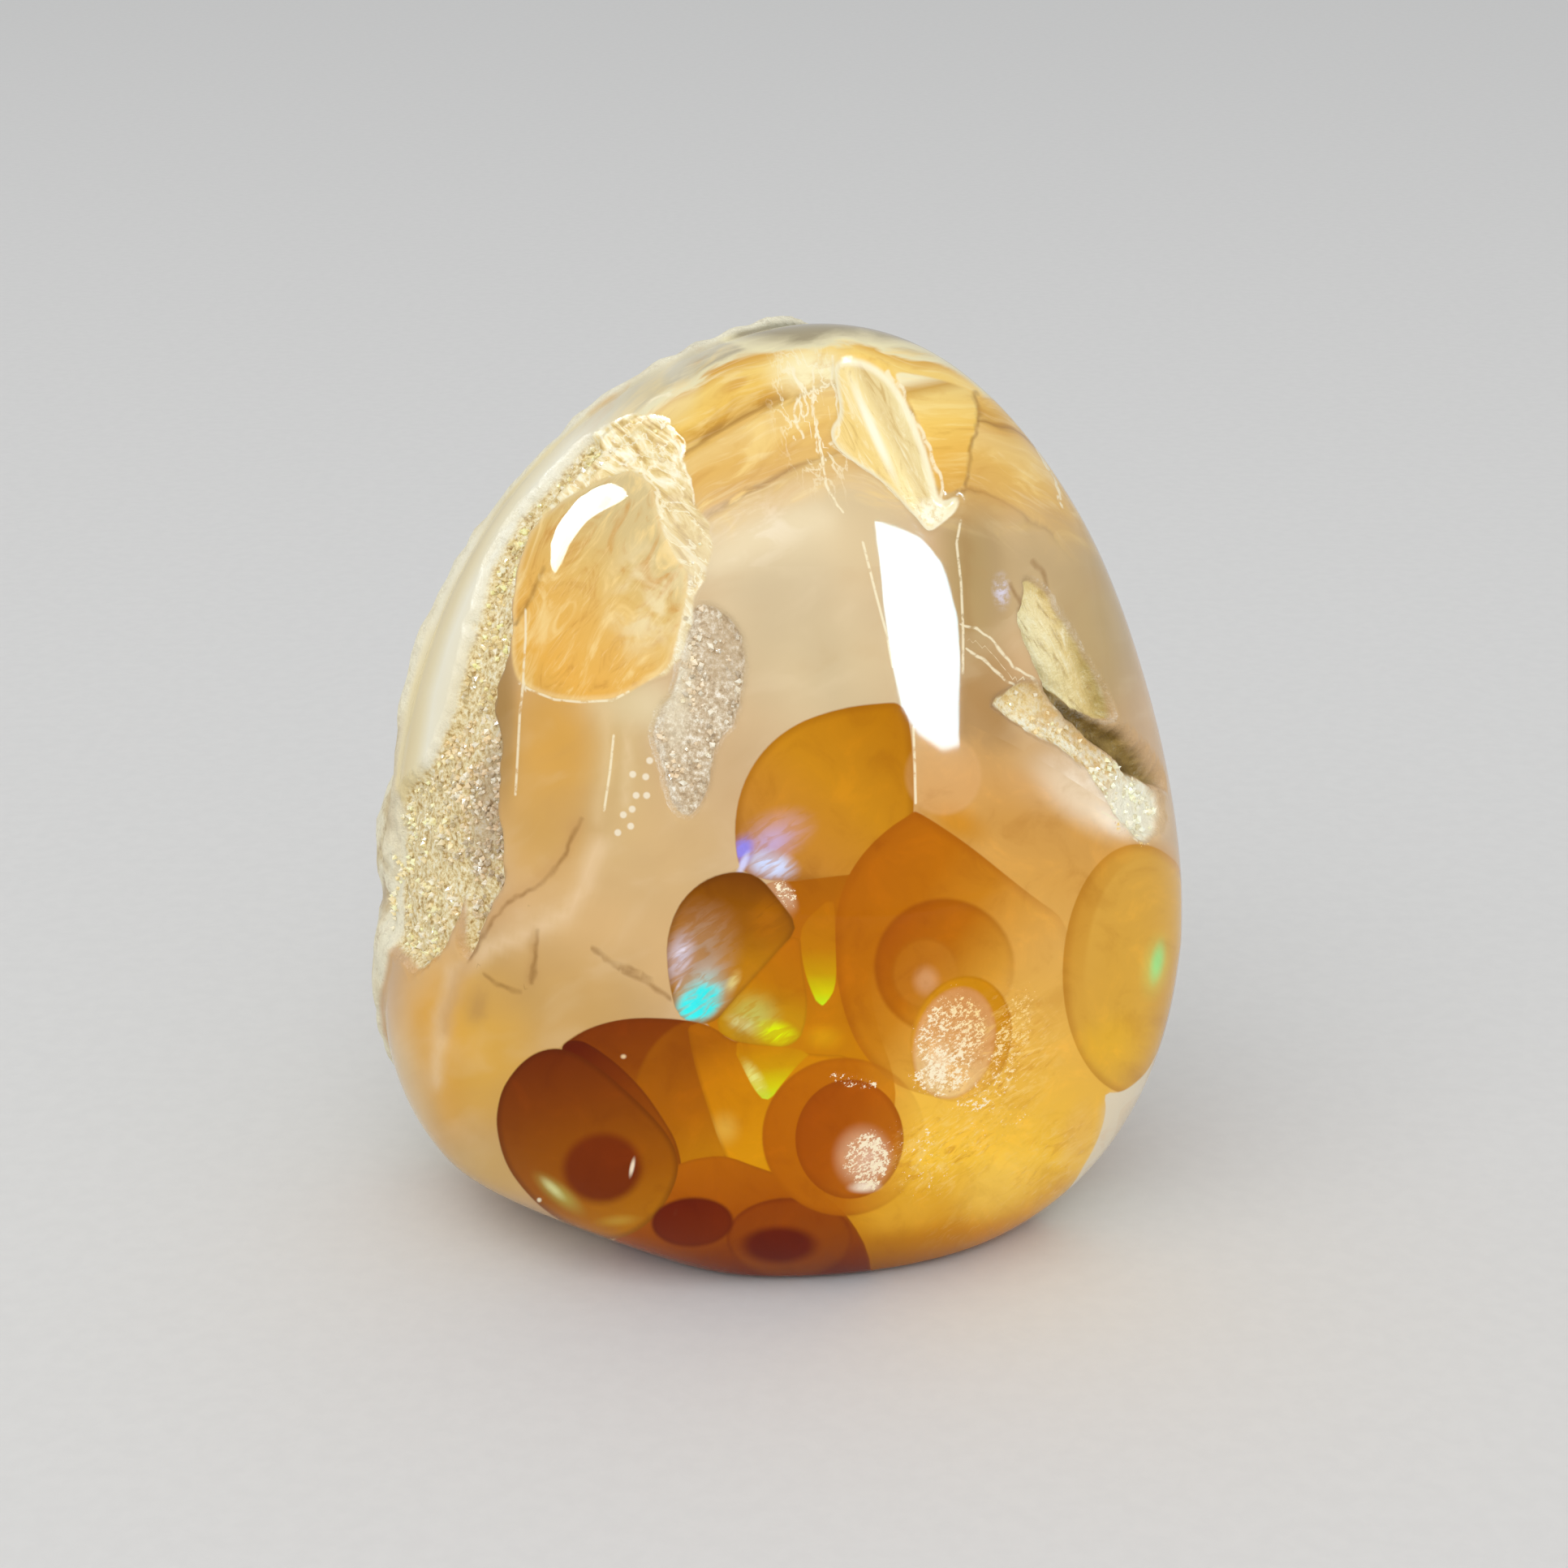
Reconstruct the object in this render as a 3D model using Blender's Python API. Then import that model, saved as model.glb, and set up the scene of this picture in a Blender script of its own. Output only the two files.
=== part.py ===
"""A polished fire agate hand specimen, standing on its ground foot, as one solid.

The stone is an egg that was ground and polished on the front and left natural on the back.
X runs across the polished front, +Y goes into the stone and +Z is up. The origin is on the
foot, under the middle of the stone. Blender's metres are used throughout.
"""

import math

import bmesh
import bpy
import numpy as np
from mathutils import Vector, noise

MM = 0.001
NODE_NAME = "fire_agate"

# The ground egg, by its widest section
HALF_WIDTH = 19.9 * MM
HALF_DEPTH = 15.0 * MM
GIRTH_HEIGHT = 13.6 * MM
CROWN_RISE = 30.1 * MM
BOTTOM_DROP = 17.0 * MM
CROWN_POWER = 1.93
BOTTOM_POWER = 2.7

# How far the sections wander from a straight upright line
CROWN_LEAN = 1.8 * MM
CROWN_LEAN_POWER = 6
BELLY_LEAN = -0.45 * MM
BACKWARD_LEAN = 1.5 * MM

# Flats left by the grinding wheel: outward direction, distance from the egg's middle
FLATS = (
    ((-0.34, -0.42, -0.84), 17.35 * MM),
    ((0.93, -0.22, 0.30), 20.3 * MM),
    ((-0.90, -0.30, 0.32), 21.4 * MM),
)
FLAT_ROUNDING = 1.0 * MM

# The foot is where the egg is cut level
FOOT_ROUNDING = 0.5 * MM

# Natural hollows that the polish didn't reach. Each has a depth, the width of its bank, and
# a course over the front as (across, height, half width).
HOLLOWS = {
    "left_druse": (
        0.9 * MM,
        0.7 * MM,
        (
            (-6.0, 40.3, 0.9),
            (-10.2, 38.2, 1.1),
            (-12.8, 34.8, 1.0),
            (-13.9, 31.1, 1.3),
            (-15.0, 25.4, 2.2),
            (-15.7, 22.4, 2.4),
            (-17.0, 18.6, 2.0),
            (-17.4, 14.8, 0.7),
        ),
    ),
    "left_druse_tip": (
        0.6 * MM,
        0.6 * MM,
        ((-14.1, 21.6, 1.2), (-14.7, 18.6, 0.8), (-15.0, 16.2, 0.4)),
    ),
    "middle_druse": (
        0.7 * MM,
        0.6 * MM,
        (
            (-7.0, 39.9, 0.8),
            (-4.9, 38.9, 1.0),
            (-4.2, 36.2, 1.2),
            (-4.2, 33.4, 1.0),
            (-3.5, 30.8, 1.8),
            (-4.2, 27.4, 1.4),
            (-4.4, 24.6, 0.5),
        ),
    ),
    "crown_wedge": (
        0.45 * MM,
        0.5 * MM,
        ((2.9, 42.6, 0.9), (3.8, 40.4, 1.5), (5.9, 38.0, 1.1), (6.9, 36.5, 0.5)),
    ),
    "crown_wedge_foot": (
        0.5 * MM,
        0.4 * MM,
        ((6.8, 36.4, 0.5), (8.1, 37.6, 0.5)),
    ),
    "fissure_shelf": (
        0.6 * MM,
        0.5 * MM,
        ((11.6, 33.0, 0.5), (12.6, 30.6, 0.9), (14.5, 27.7, 0.8), (16.2, 25.9, 0.5)),
    ),
    "fissure_groove": (
        1.7 * MM,
        0.8 * MM,
        ((11.0, 32.6, 0.2), (12.4, 29.9, 0.3), (14.6, 26.9, 0.5), (17.6, 23.0, 0.6)),
    ),
    "fissure_floor": (
        0.8 * MM,
        0.6 * MM,
        ((9.6, 29.1, 0.5), (11.9, 27.4, 1.1), (14.5, 25.2, 1.0), (17.2, 20.8, 0.6)),
    ),
}

# The natural rind on the back: where it starts, and how far it stands above the polish
RIND_START_LEFT = 1.6 * MM
RIND_START_RIGHT = 7.5 * MM
RIND_TURN = 7.0 * MM
RIND_CREEP = 5.6 * MM
RIND_CREEP_HEIGHT = 16.0 * MM
RIND_CREEP_REACH = 9.0 * MM
RIND_WOBBLE = 1.1 * MM
RIND_WOBBLE_LENGTH = 5.0 * MM
RIND_BANK = 0.9 * MM
RIND_PROUD = 0.35 * MM
KNOB_SIZE = 5.2 * MM
KNOB_RISE = 1.1 * MM
KNOB_STEEPNESS = 1.6
SWELL_SIZE = 12.0 * MM
SWELL_RISE = 0.7 * MM

# The polished skin isn't quite an egg either
RIPPLE_SIZE = 13.0 * MM
RIPPLE_RISE = 0.22 * MM

# How finely the solid is faceted: each step cuts the triangles that come this close to the
# bank of a hollow, and this close to the rind's edge
SPHERE_STEPS = 5
DETAIL_STEPS = (
    (1.15 * MM, 0.75 * MM),
    (0.42 * MM, 0.0),
)

STONE_COLOUR = (0.66, 0.38, 0.14, 1.0)
STONE_ROUGHNESS = 0.12


def section(height):
    """The egg's cross-section there: its share of the full girth, and its centre's X and Y."""
    above = height > GIRTH_HEIGHT
    along = (height - GIRTH_HEIGHT) / np.where(above, CROWN_RISE, BOTTOM_DROP)
    along = np.clip(along, -1.0, 1.0)
    power = np.where(above, CROWN_POWER, BOTTOM_POWER)
    share = np.sqrt(np.clip(1.0 - np.abs(along) ** power, 0.0, 1.0))
    crown = CROWN_LEAN * np.abs(along) ** CROWN_LEAN_POWER
    belly = BELLY_LEAN * np.sin(math.pi * np.clip(-along, 0.0, 1.0))
    return share, np.where(above, crown, belly), BACKWARD_LEAN * along


def egg(directions):
    """The egg's surface points, one for each unit direction."""
    up = directions[:, 2]
    height = GIRTH_HEIGHT + up * np.where(up > 0, CROWN_RISE, BOTTOM_DROP)
    share, middle_x, middle_y = section(height)
    level = np.hypot(directions[:, 0], directions[:, 1])
    level = np.maximum(level, 1e-9)
    x = middle_x + HALF_WIDTH * share * directions[:, 0] / level
    y = middle_y + HALF_DEPTH * share * directions[:, 1] / level
    return np.stack([x, y, height], axis=1)


def outward(points):
    """The egg's outward direction at points on or near it."""
    _, middle_x, middle_y = section(points[:, 2])
    reach = np.where(points[:, 2] > GIRTH_HEIGHT, CROWN_RISE, BOTTOM_DROP)
    slope = np.stack(
        [
            (points[:, 0] - middle_x) / HALF_WIDTH**2,
            (points[:, 1] - middle_y) / HALF_DEPTH**2,
            (points[:, 2] - GIRTH_HEIGHT) / reach**2,
        ],
        axis=1,
    )
    return slope / np.linalg.norm(slope, axis=1, keepdims=True)


def front_point(across, height):
    """The point on the egg's front at that X and height."""
    share, middle_x, middle_y = (float(v) for v in section(np.array(height)))
    side = (across - middle_x) / (HALF_WIDTH * share)
    y = middle_y - HALF_DEPTH * share * math.sqrt(max(0.0, 1.0 - side * side))
    return np.array([across, y, height])


def smooth_step(value):
    value = np.clip(value, 0.0, 1.0)
    return value * value * (3.0 - 2.0 * value)


def rounded_excess(value, rounding):
    """value where it is positive, 0 where it is negative, with the corner rounded."""
    near = (value + rounding) ** 2 / (4.0 * rounding)
    return np.where(value < -rounding, 0.0, np.where(value < rounding, near, value))


def smooth_noise(points, size):
    return np.array([noise.noise(Vector(p / size)) for p in points])


def knobs(points, size):
    """Rounded lumps packed side by side, 0 in the seams and 1 on each top."""
    nearest = [noise.voronoi(Vector(p / size))[0][0] for p in points]
    return np.clip(1.0 - KNOB_STEEPNESS * np.array(nearest) ** 2, 0.0, 1.0)


def distance_to_course(points, course):
    """How far each point is outside a band that follows the course over the front."""
    nearest = np.full(len(points), np.inf)
    for (x0, z0, r0), (x1, z1, r1) in zip(course, course[1:]):
        start = front_point(x0 * MM, z0 * MM)
        run = front_point(x1 * MM, z1 * MM) - start
        share = np.clip((points - start) @ run / (run @ run), 0.0, 1.0)
        gap = np.linalg.norm(points - start - share[:, None] * run, axis=1)
        radius = (r0 + (r1 - r0) * share) * MM
        nearest = np.minimum(nearest, gap - radius)
    return nearest


def distance_into_rind(points):
    """How far behind the rind's front edge each point is, negative on the polished side."""
    side = smooth_step(0.5 + points[:, 0] / (2.0 * RIND_TURN))
    edge = RIND_START_LEFT + (RIND_START_RIGHT - RIND_START_LEFT) * side
    rise = (points[:, 2] - RIND_CREEP_HEIGHT) / RIND_CREEP_REACH
    edge = edge - RIND_CREEP * (1.0 - side) * np.exp(-rise * rise)
    wobble = RIND_WOBBLE * smooth_noise(points, RIND_WOBBLE_LENGTH)
    return points[:, 1] - edge + wobble


def grind_flats(points):
    middle = np.array([0.0, 0.0, GIRTH_HEIGHT])
    for direction, distance in FLATS:
        direction = np.array(direction) / np.linalg.norm(direction)
        excess = rounded_excess((points - middle) @ direction - distance, FLAT_ROUNDING)
        points = points - excess[:, None] * direction
    return points


def stone_surface(directions):
    """The finished stone's surface, one point for each unit direction."""
    points = egg(directions)
    out = outward(points)
    skin = egg(directions)
    rise = RIPPLE_RISE * smooth_noise(skin, RIPPLE_SIZE)
    for depth, bank, course in HOLLOWS.values():
        outside = distance_to_course(skin, course)
        rise = rise - depth * smooth_step(0.5 - outside / bank)
    rind = smooth_step(0.5 + distance_into_rind(skin) / RIND_BANK)
    lumps = RIND_PROUD + KNOB_RISE * (knobs(skin, KNOB_SIZE) - 0.5)
    lumps = lumps + SWELL_RISE * smooth_noise(skin, SWELL_SIZE)
    points = grind_flats(points) + (rise + rind * lumps)[:, None] * out
    points[:, 2] = rounded_excess(points[:, 2], FOOT_ROUNDING)
    return points


def centred(points):
    """The same points with the middle of their box over the origin."""
    middle = (points.min(axis=0) + points.max(axis=0)) / 2.0
    return points - np.array([middle[0], middle[1], 0.0])


def needs_detail(directions, bank_reach, rind_reach):
    """True where the surface turns sharply: at the banks of the hollows and at the rind's edge."""
    skin = egg(directions)
    sharp = np.abs(distance_into_rind(skin)) < rind_reach
    for _, _, course in HOLLOWS.values():
        sharp |= np.abs(distance_to_course(skin, course)) < bank_reach
    return sharp


def cut_finer(mesh, bank_reach, rind_reach):
    """Cut each triangle that needs it in four, and close up the neighbours."""
    mesh.faces.index_update()
    middles = np.array([f.calc_center_median().normalized() for f in mesh.faces])
    sharp = needs_detail(middles, bank_reach, rind_reach)
    edges = [e for e in mesh.edges if any(sharp[f.index] for f in e.link_faces)]
    bmesh.ops.subdivide_edges(mesh, edges=edges, cuts=1, use_grid_fill=True)
    bmesh.ops.triangulate(mesh, faces=mesh.faces)


def unit_directions(mesh):
    found = np.array([v.co for v in mesh.verts])
    return found / np.linalg.norm(found, axis=1, keepdims=True)


def add_material(body):
    material = bpy.data.materials.new("polished_agate")
    material.use_nodes = True
    shader = material.node_tree.nodes["Principled BSDF"]
    shader.inputs["Base Color"].default_value = STONE_COLOUR
    shader.inputs["Roughness"].default_value = STONE_ROUGHNESS
    shader.inputs["Metallic"].default_value = 0.0
    body.data.materials.append(material)


def build_stone(collection):
    """A ball, cut finer where the surface needs it, with each vertex moved to the stone."""
    mesh = bmesh.new()
    bmesh.ops.create_icosphere(mesh, subdivisions=SPHERE_STEPS, radius=1.0)
    for bank_reach, rind_reach in DETAIL_STEPS:
        cut_finer(mesh, bank_reach, rind_reach)
    for vertex, place in zip(mesh.verts, centred(stone_surface(unit_directions(mesh)))):
        vertex.co = place
    bmesh.ops.recalc_face_normals(mesh, faces=mesh.faces)
    data = bpy.data.meshes.new(NODE_NAME)
    mesh.to_mesh(data)
    mesh.free()
    data.shade_smooth()
    body = bpy.data.objects.new(NODE_NAME, data)
    collection.objects.link(body)
    add_material(body)
    return body


def clear_scene():
    for old in list(bpy.data.objects):
        bpy.data.objects.remove(old)


def main():
    clear_scene()
    collection = bpy.data.collections.new("fire_agate_specimen")
    bpy.context.scene.collection.children.link(collection)
    build_stone(collection)


main()
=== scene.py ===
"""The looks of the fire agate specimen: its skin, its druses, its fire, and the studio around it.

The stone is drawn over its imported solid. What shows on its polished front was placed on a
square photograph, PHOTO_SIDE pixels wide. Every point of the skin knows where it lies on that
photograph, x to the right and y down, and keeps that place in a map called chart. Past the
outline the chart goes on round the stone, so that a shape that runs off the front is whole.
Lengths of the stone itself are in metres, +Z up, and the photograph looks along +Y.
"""

import math
from collections import namedtuple

import bmesh
import bpy
import numpy as np
from mathutils import Matrix, Quaternion, Vector, noise


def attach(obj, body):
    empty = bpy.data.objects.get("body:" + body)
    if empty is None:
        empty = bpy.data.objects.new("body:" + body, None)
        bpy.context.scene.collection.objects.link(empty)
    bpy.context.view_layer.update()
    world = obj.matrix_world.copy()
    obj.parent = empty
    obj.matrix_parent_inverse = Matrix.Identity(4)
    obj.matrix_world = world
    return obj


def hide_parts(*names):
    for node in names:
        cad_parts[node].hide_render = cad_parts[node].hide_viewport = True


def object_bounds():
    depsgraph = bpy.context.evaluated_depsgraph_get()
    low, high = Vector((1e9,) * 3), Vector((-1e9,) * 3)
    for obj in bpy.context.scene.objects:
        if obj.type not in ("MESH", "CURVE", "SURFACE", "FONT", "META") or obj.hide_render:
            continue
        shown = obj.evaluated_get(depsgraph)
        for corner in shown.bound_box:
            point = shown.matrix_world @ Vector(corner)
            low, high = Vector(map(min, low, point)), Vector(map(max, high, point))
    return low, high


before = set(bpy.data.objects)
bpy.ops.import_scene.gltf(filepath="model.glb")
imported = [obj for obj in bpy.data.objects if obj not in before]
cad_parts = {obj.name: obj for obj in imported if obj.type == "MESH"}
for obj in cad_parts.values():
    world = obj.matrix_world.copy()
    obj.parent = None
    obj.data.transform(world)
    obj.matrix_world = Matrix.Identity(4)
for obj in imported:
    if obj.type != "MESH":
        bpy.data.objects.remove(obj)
cad_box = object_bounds()

MM = 0.001
NODE_NAME = "fire_agate"

# The photograph and its camera, in the egg's own coordinates
PHOTO_SIDE = 1932
FIELD_OF_VIEW = math.radians(28.0)
CAMERA_DISTANCE = 155.0 * MM
CAMERA_ELEVATION = math.radians(20.0)
CAMERA_TARGET = np.array([0.0, 0.0, 21.3 * MM])

# The chart goes on past the outline as if it were rolled off a ball of this radius
ROLL_RADIUS = 500.0
ROLL_START = math.radians(80.0)
ROLL_EASE = math.radians(35.0)

# The egg, as in the solid
HALF_WIDTH = 19.9 * MM
HALF_DEPTH = 15.0 * MM
GIRTH_HEIGHT = 13.6 * MM
CROWN_RISE = 30.1 * MM
BOTTOM_DROP = 17.0 * MM
CROWN_POWER = 1.93
BOTTOM_POWER = 2.7
CROWN_LEAN = 1.8 * MM
CROWN_LEAN_POWER = 6
BELLY_LEAN = -0.45 * MM
BACKWARD_LEAN = 1.5 * MM
FLATS = (
    ((-0.34, -0.42, -0.84), 17.35 * MM),
    ((0.93, -0.22, 0.30), 20.3 * MM),
    ((-0.90, -0.30, 0.32), 21.4 * MM),
)
FLAT_ROUNDING = 1.0 * MM
FOOT_ROUNDING = 0.5 * MM
RIPPLE_SIZE = 13.0 * MM
RIPPLE_RISE = 0.22 * MM

# The rind on the back, as in the solid, with a finer crumb on it
RIND_START_LEFT = 1.6 * MM
RIND_START_RIGHT = 7.5 * MM
RIND_TURN = 7.0 * MM
RIND_CREEP = 5.6 * MM
RIND_CREEP_HEIGHT = 16.0 * MM
RIND_CREEP_REACH = 9.0 * MM
RIND_WOBBLE = 1.1 * MM
RIND_WOBBLE_LENGTH = 5.0 * MM
RIND_BANK = 0.7 * MM
RIND_PROUD = 0.35 * MM
KNOB_SIZE = 5.2 * MM
KNOB_RISE = 1.1 * MM
KNOB_STEEPNESS = 1.6
KNOB_BANK = 3.0 * MM
SWELL_SIZE = 12.0 * MM
SWELL_RISE = 0.7 * MM
CRUMB_SIZE = 1.3 * MM
CRUMB_RISE = 0.23 * MM

# How finely the skin is faceted, and how many pixels around a sharp outline are cut finer
SPHERE_STEPS = 7
DETAIL_REACH = 14.0

# Distances to outlines and to lines stop counting here, in pixels
FAR = 60.0
LINE_REACH = 16.0

# How torn outlines wander across and down: noises as strength in pixels, size and shift
TORN_WANDER = (
    ((5.0, 1.5 * MM, 0.0), (3.0, 0.5 * MM, 7.0)),
    ((5.0, 1.5 * MM, 31.0), (3.0, 0.5 * MM, 53.0)),
)

# Outlines on the photograph. The torn ones wander a little, as nothing has cut them.
Oval = namedtuple("Oval", "centre radii tilt", defaults=(0.0,))
TORN_OUTLINES = ("crust", "left_druse", "middle_druse", "shelf", "groove", "floor")
OUTLINES = {
    "window": (
        (632, 832), (632, 755), (641, 694), (656, 648), (690, 618), (721, 600), (752, 584),
        (782, 577), (805, 596), (811, 642), (831, 686), (849, 706), (845, 742), (835, 782),
        (827, 822), (798, 840), (760, 862), (715, 864), (684, 861), (654, 850),
    ),
    "crust": (
        (650, 650), (668, 622), (700, 575), (727, 537), (756, 518), (788, 510), (814, 512),
        (830, 528), (840, 553), (849, 592), (855, 620), (874, 649), (878, 671), (868, 697),
        (871, 716), (856, 737), (850, 775), (838, 812), (822, 832), (760, 850), (700, 700),
    ),
    "left_druse": (
        (740, 552), (727, 535), (690, 578), (654, 613), (632, 646), (608, 678), (598, 716),
        (588, 750), (576, 792), (566, 826), (554, 868), (542, 903), (528, 934), (511, 956),
        (494, 975), (482, 1005), (476, 1060), (472, 1120), (478, 1160), (500, 1185), (513, 1200),
        (543, 1173), (560, 1128), (563, 1100), (568, 1130), (566, 1165), (574, 1183), (591, 1131),
        (608, 1104), (613, 1073), (611, 1025), (606, 963), (613, 925), (606, 880), (608, 841),
        (618, 817), (628, 795), (627, 771), (629, 734), (637, 690), (654, 640), (680, 605),
        (715, 570),
    ),
    "middle_druse": (
        (858, 742), (882, 748), (903, 764), (917, 795), (915, 840), (906, 885), (896, 903),
        (884, 918), (874, 935), (873, 963), (862, 997), (846, 1011), (826, 996), (818, 963),
        (811, 932), (805, 900), (812, 878), (826, 862), (834, 834), (840, 800), (850, 770),
    ),
    "wedge": (
        (1027, 440), (1060, 437), (1092, 455), (1112, 480), (1129, 517), (1145, 561), (1153, 594),
        (1160, 619), (1183, 608), (1182, 627), (1161, 645), (1145, 656), (1133, 640), (1120, 625),
        (1088, 590), (1047, 563), (1027, 545), (1023, 525), (1037, 508), (1031, 472),
    ),
    "segment": (
        (1100, 458), (1130, 462), (1165, 470), (1200, 484), (1206, 512), (1196, 545), (1192, 574),
        (1188, 600), (1160, 612), (1150, 580), (1143, 545), (1126, 505), (1110, 476),
    ),
    "cap": (
        (905, 427), (945, 431), (987, 433), (1020, 427), (1067, 424), (1108, 429), (1149, 441),
        (1178, 459), (1230, 500), (1330, 420), (1240, 280), (1000, 220), (850, 320), (870, 410),
    ),
    "shelf": (
        (1263, 714), (1274, 718), (1292, 727), (1320, 773), (1344, 819), (1369, 859), (1381, 886),
        (1363, 883), (1329, 859), (1301, 834), (1286, 810), (1271, 785), (1262, 749),
    ),
    "groove": (
        (1258, 745), (1270, 783), (1290, 815), (1314, 844), (1342, 871), (1372, 892), (1398, 905),
        (1420, 932), (1438, 972), (1422, 962), (1400, 943), (1374, 926), (1342, 899), (1314, 871),
        (1292, 842), (1274, 808), (1260, 772),
    ),
    "floor": (
        (1222, 866), (1240, 853), (1268, 838), (1295, 852), (1312, 878), (1344, 905), (1372, 930),
        (1393, 942), (1410, 946), (1426, 975), (1435, 1012), (1424, 1032), (1412, 1042),
        (1394, 1022), (1375, 990), (1344, 945), (1314, 926), (1277, 902), (1240, 882),
    ),
    "corner": (
        (1362, 1347), (1385, 1349), (1410, 1330), (1440, 1295), (1500, 1200), (1600, 1200),
        (1600, 1560), (1290, 1560), (1330, 1450), (1346, 1425), (1358, 1400), (1366, 1370),
    ),
}
HAZE = Oval((1338, 976), (84, 44), 34)
# A lavender speckle right of the front highlight: a painted glint of reflected light.
LAVENDER_GLINT = Oval((1234, 728), (15, 30), -5)
LEFT_OUTLINE = (
    (808, 470), (770, 478), (735, 492), (690, 530), (640, 590), (600, 648), (560, 725), (535, 785),
    (515, 850), (503, 920), (492, 985),
)

# Where the polished body has more to show than its soft colours and fine lines
BUSY_PLACES = TORN_OUTLINES + ("window", "segment", "wedge")
BUSY_MARGIN = 6.0
CROWN_END = 692.0

# The polish, and how much rougher it is in and near the places that it didn't reach
POLISH_IOR = 1.2
POLISH_ROUGHNESS = 0.045
RIND_ROUGHNESS = 0.7
GRIT_HEIGHT = 0.2 * MM
ROUGH_REACH = 16.0
ROUGH_PLACES = (
    ("left_druse", 0.4), ("middle_druse", 0.35), ("floor", 0.5), ("shelf", 0.35),
    ("groove", 0.4), ("wedge", 0.2),
)

# The body's soft colours: x and y where each is strongest, how far it reaches across and down,
# and its screen colour. The ground colour counts a little everywhere. Besides the stone's own
# tones they hold painted shade: darker towards the bottom and down the right edge.
BODY_COLOUR = (210, 174, 130)
GROUND_SHARE = 0.12
CLOUD_STRENGTH = 0.10
BODY_CLOUDS = ((1.0, 5.0 * MM, 11.0), (0.5, 2.0 * MM, 5.0))
BODY_TONES_AND_SHADE = (
    (960, 760, 90, 130, 211, 190, 152), (960, 650, 90, 50, 235, 216, 175),
    (900, 900, 70, 80, 208, 174, 128), (1000, 820, 80, 60, 221, 198, 154),
    (760, 1130, 80, 80, 216, 177, 121), (800, 1050, 70, 70, 216, 181, 127),
    (700, 1230, 70, 60, 197, 155, 88), (760, 950, 30, 100, 213, 182, 126),
    (690, 920, 48, 60, 214, 160, 68), (675, 1015, 45, 55, 212, 164, 86),
    (620, 890, 12, 70, 166, 128, 70), (785, 872, 45, 22, 230, 212, 169),
    (600, 1290, 50, 70, 220, 168, 66), (540, 1300, 30, 80, 224, 162, 44),
    (505, 1360, 30, 60, 231, 205, 160), (580, 1440, 70, 26, 214, 174, 104),
    # Painted shade: (690, 1540) darkens the bottom and (1345, 770) the right edge.
    (690, 1540, 110, 24, 188, 150, 105), (1300, 690, 60, 70, 202, 174, 127),
    (1345, 770, 40, 80, 192, 165, 114), (1200, 700, 28, 90, 176, 148, 96),
    (1240, 560, 50, 40, 219, 184, 114), (1275, 560, 20, 60, 234, 214, 170),
    (1215, 880, 26, 60, 176, 136, 84), (1480, 1400, 60, 80, 232, 216, 184),
    (1430, 1385, 46, 60, 236, 222, 194), (1400, 1490, 56, 60, 236, 222, 194),
    (1560, 1150, 60, 200, 206, 176, 132), (1160, 960, 50, 40, 218, 170, 106),
    (1300, 960, 60, 30, 216, 180, 135), (1335, 985, 40, 30, 232, 203, 160),
    (1235, 985, 50, 50, 203, 151, 66), (1320, 975, 48, 30, 240, 214, 176),
    (1385, 1010, 34, 26, 236, 206, 160), (1060, 640, 40, 60, 222, 196, 150),
)

# Bands of the crown round their common centre: distance in pixels, screen colour, and how much
# of it covers, all of it where no share is given. They swing out on the right.
BAND_CENTRE = (1091, 899)
BAND_SWING = 30.0
BAND_SWING_START = 1030
BAND_SWING_WIDTH = 100
BAND_ROUND = 420.0
BAND_RANGE = (280.0, 540.0)
BAND_WANDER = ((10.0, 4.0 * MM), (4.0, 1.6 * MM))
CROWN_BANDS = (
    (285, 226, 200, 156, 0.0), (305, 232, 200, 148, 0.55), (338, 216, 175, 104, 0.75),
    (344, 176, 128, 62, 0.8), (350, 222, 172, 88, 0.8), (385, 230, 182, 92, 0.9),
    (412, 236, 198, 122, 0.95), (418, 228, 184, 98, 0.95), (425, 178, 130, 56, 0.95),
    (434, 212, 158, 60, 0.95), (450, 240, 196, 96), (470, 246, 210, 118), (481, 226, 176, 80),
    (487, 238, 228, 182), (495, 232, 220, 176), (501, 188, 176, 146), (530, 222, 214, 186),
)

# From the outline inwards down the clear strip at the upper left, in pixels
LEFT_STRIP_WIDTH = 64.0
LEFT_STRIP = (
    (0, 232, 214, 160, 0.9), (10, 238, 224, 180, 0.95), (22, 244, 238, 214), (34, 242, 234, 206),
    (48, 232, 220, 184, 0.95), (64, 220, 200, 150, 0.0),
)

# Thin lines on the skin
DARK_LINES = (
    ((715, 1011), (698, 1038), (687, 1069), (667, 1087), (632, 1107), (608, 1131), (591, 1155)),
    ((591, 1155), (584, 1170), (577, 1183)),
    ((675, 702), (655, 738), (636, 770)),
    ((729, 1169), (760, 1190), (791, 1207), (825, 1231)),
    ((745, 1184), (775, 1190), (800, 1206)),
    ((1273, 694), (1283, 706), (1293, 728)),
    ((1201, 486), (1206, 512), (1196, 545), (1192, 574), (1188, 598)),
    ((1246, 724), (1258, 742), (1266, 775), (1280, 800)),
    ((660, 1148), (656, 1180), (655, 1212)),
    ((596, 1200), (612, 1212), (640, 1222)),
)
PALE_LINES = (
    ((651, 752), (651, 786), (646, 841), (641, 878), (634, 980)),
    ((641, 842), (654, 850), (684, 862), (715, 865), (755, 863), (776, 852)),
    ((1183, 642), (1178, 670), (1184, 720), (1187, 780), (1187, 830)),
    ((1126, 896), (1128, 945), (1129, 990)),
    ((757, 905), (752, 950), (744, 1000)),
    # This line is a painted reflection: the faint fringe along the front highlight's left edge.
    ((1063, 668), (1071, 700), (1080, 736), (1092, 780), (1100, 822)),
)
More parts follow.
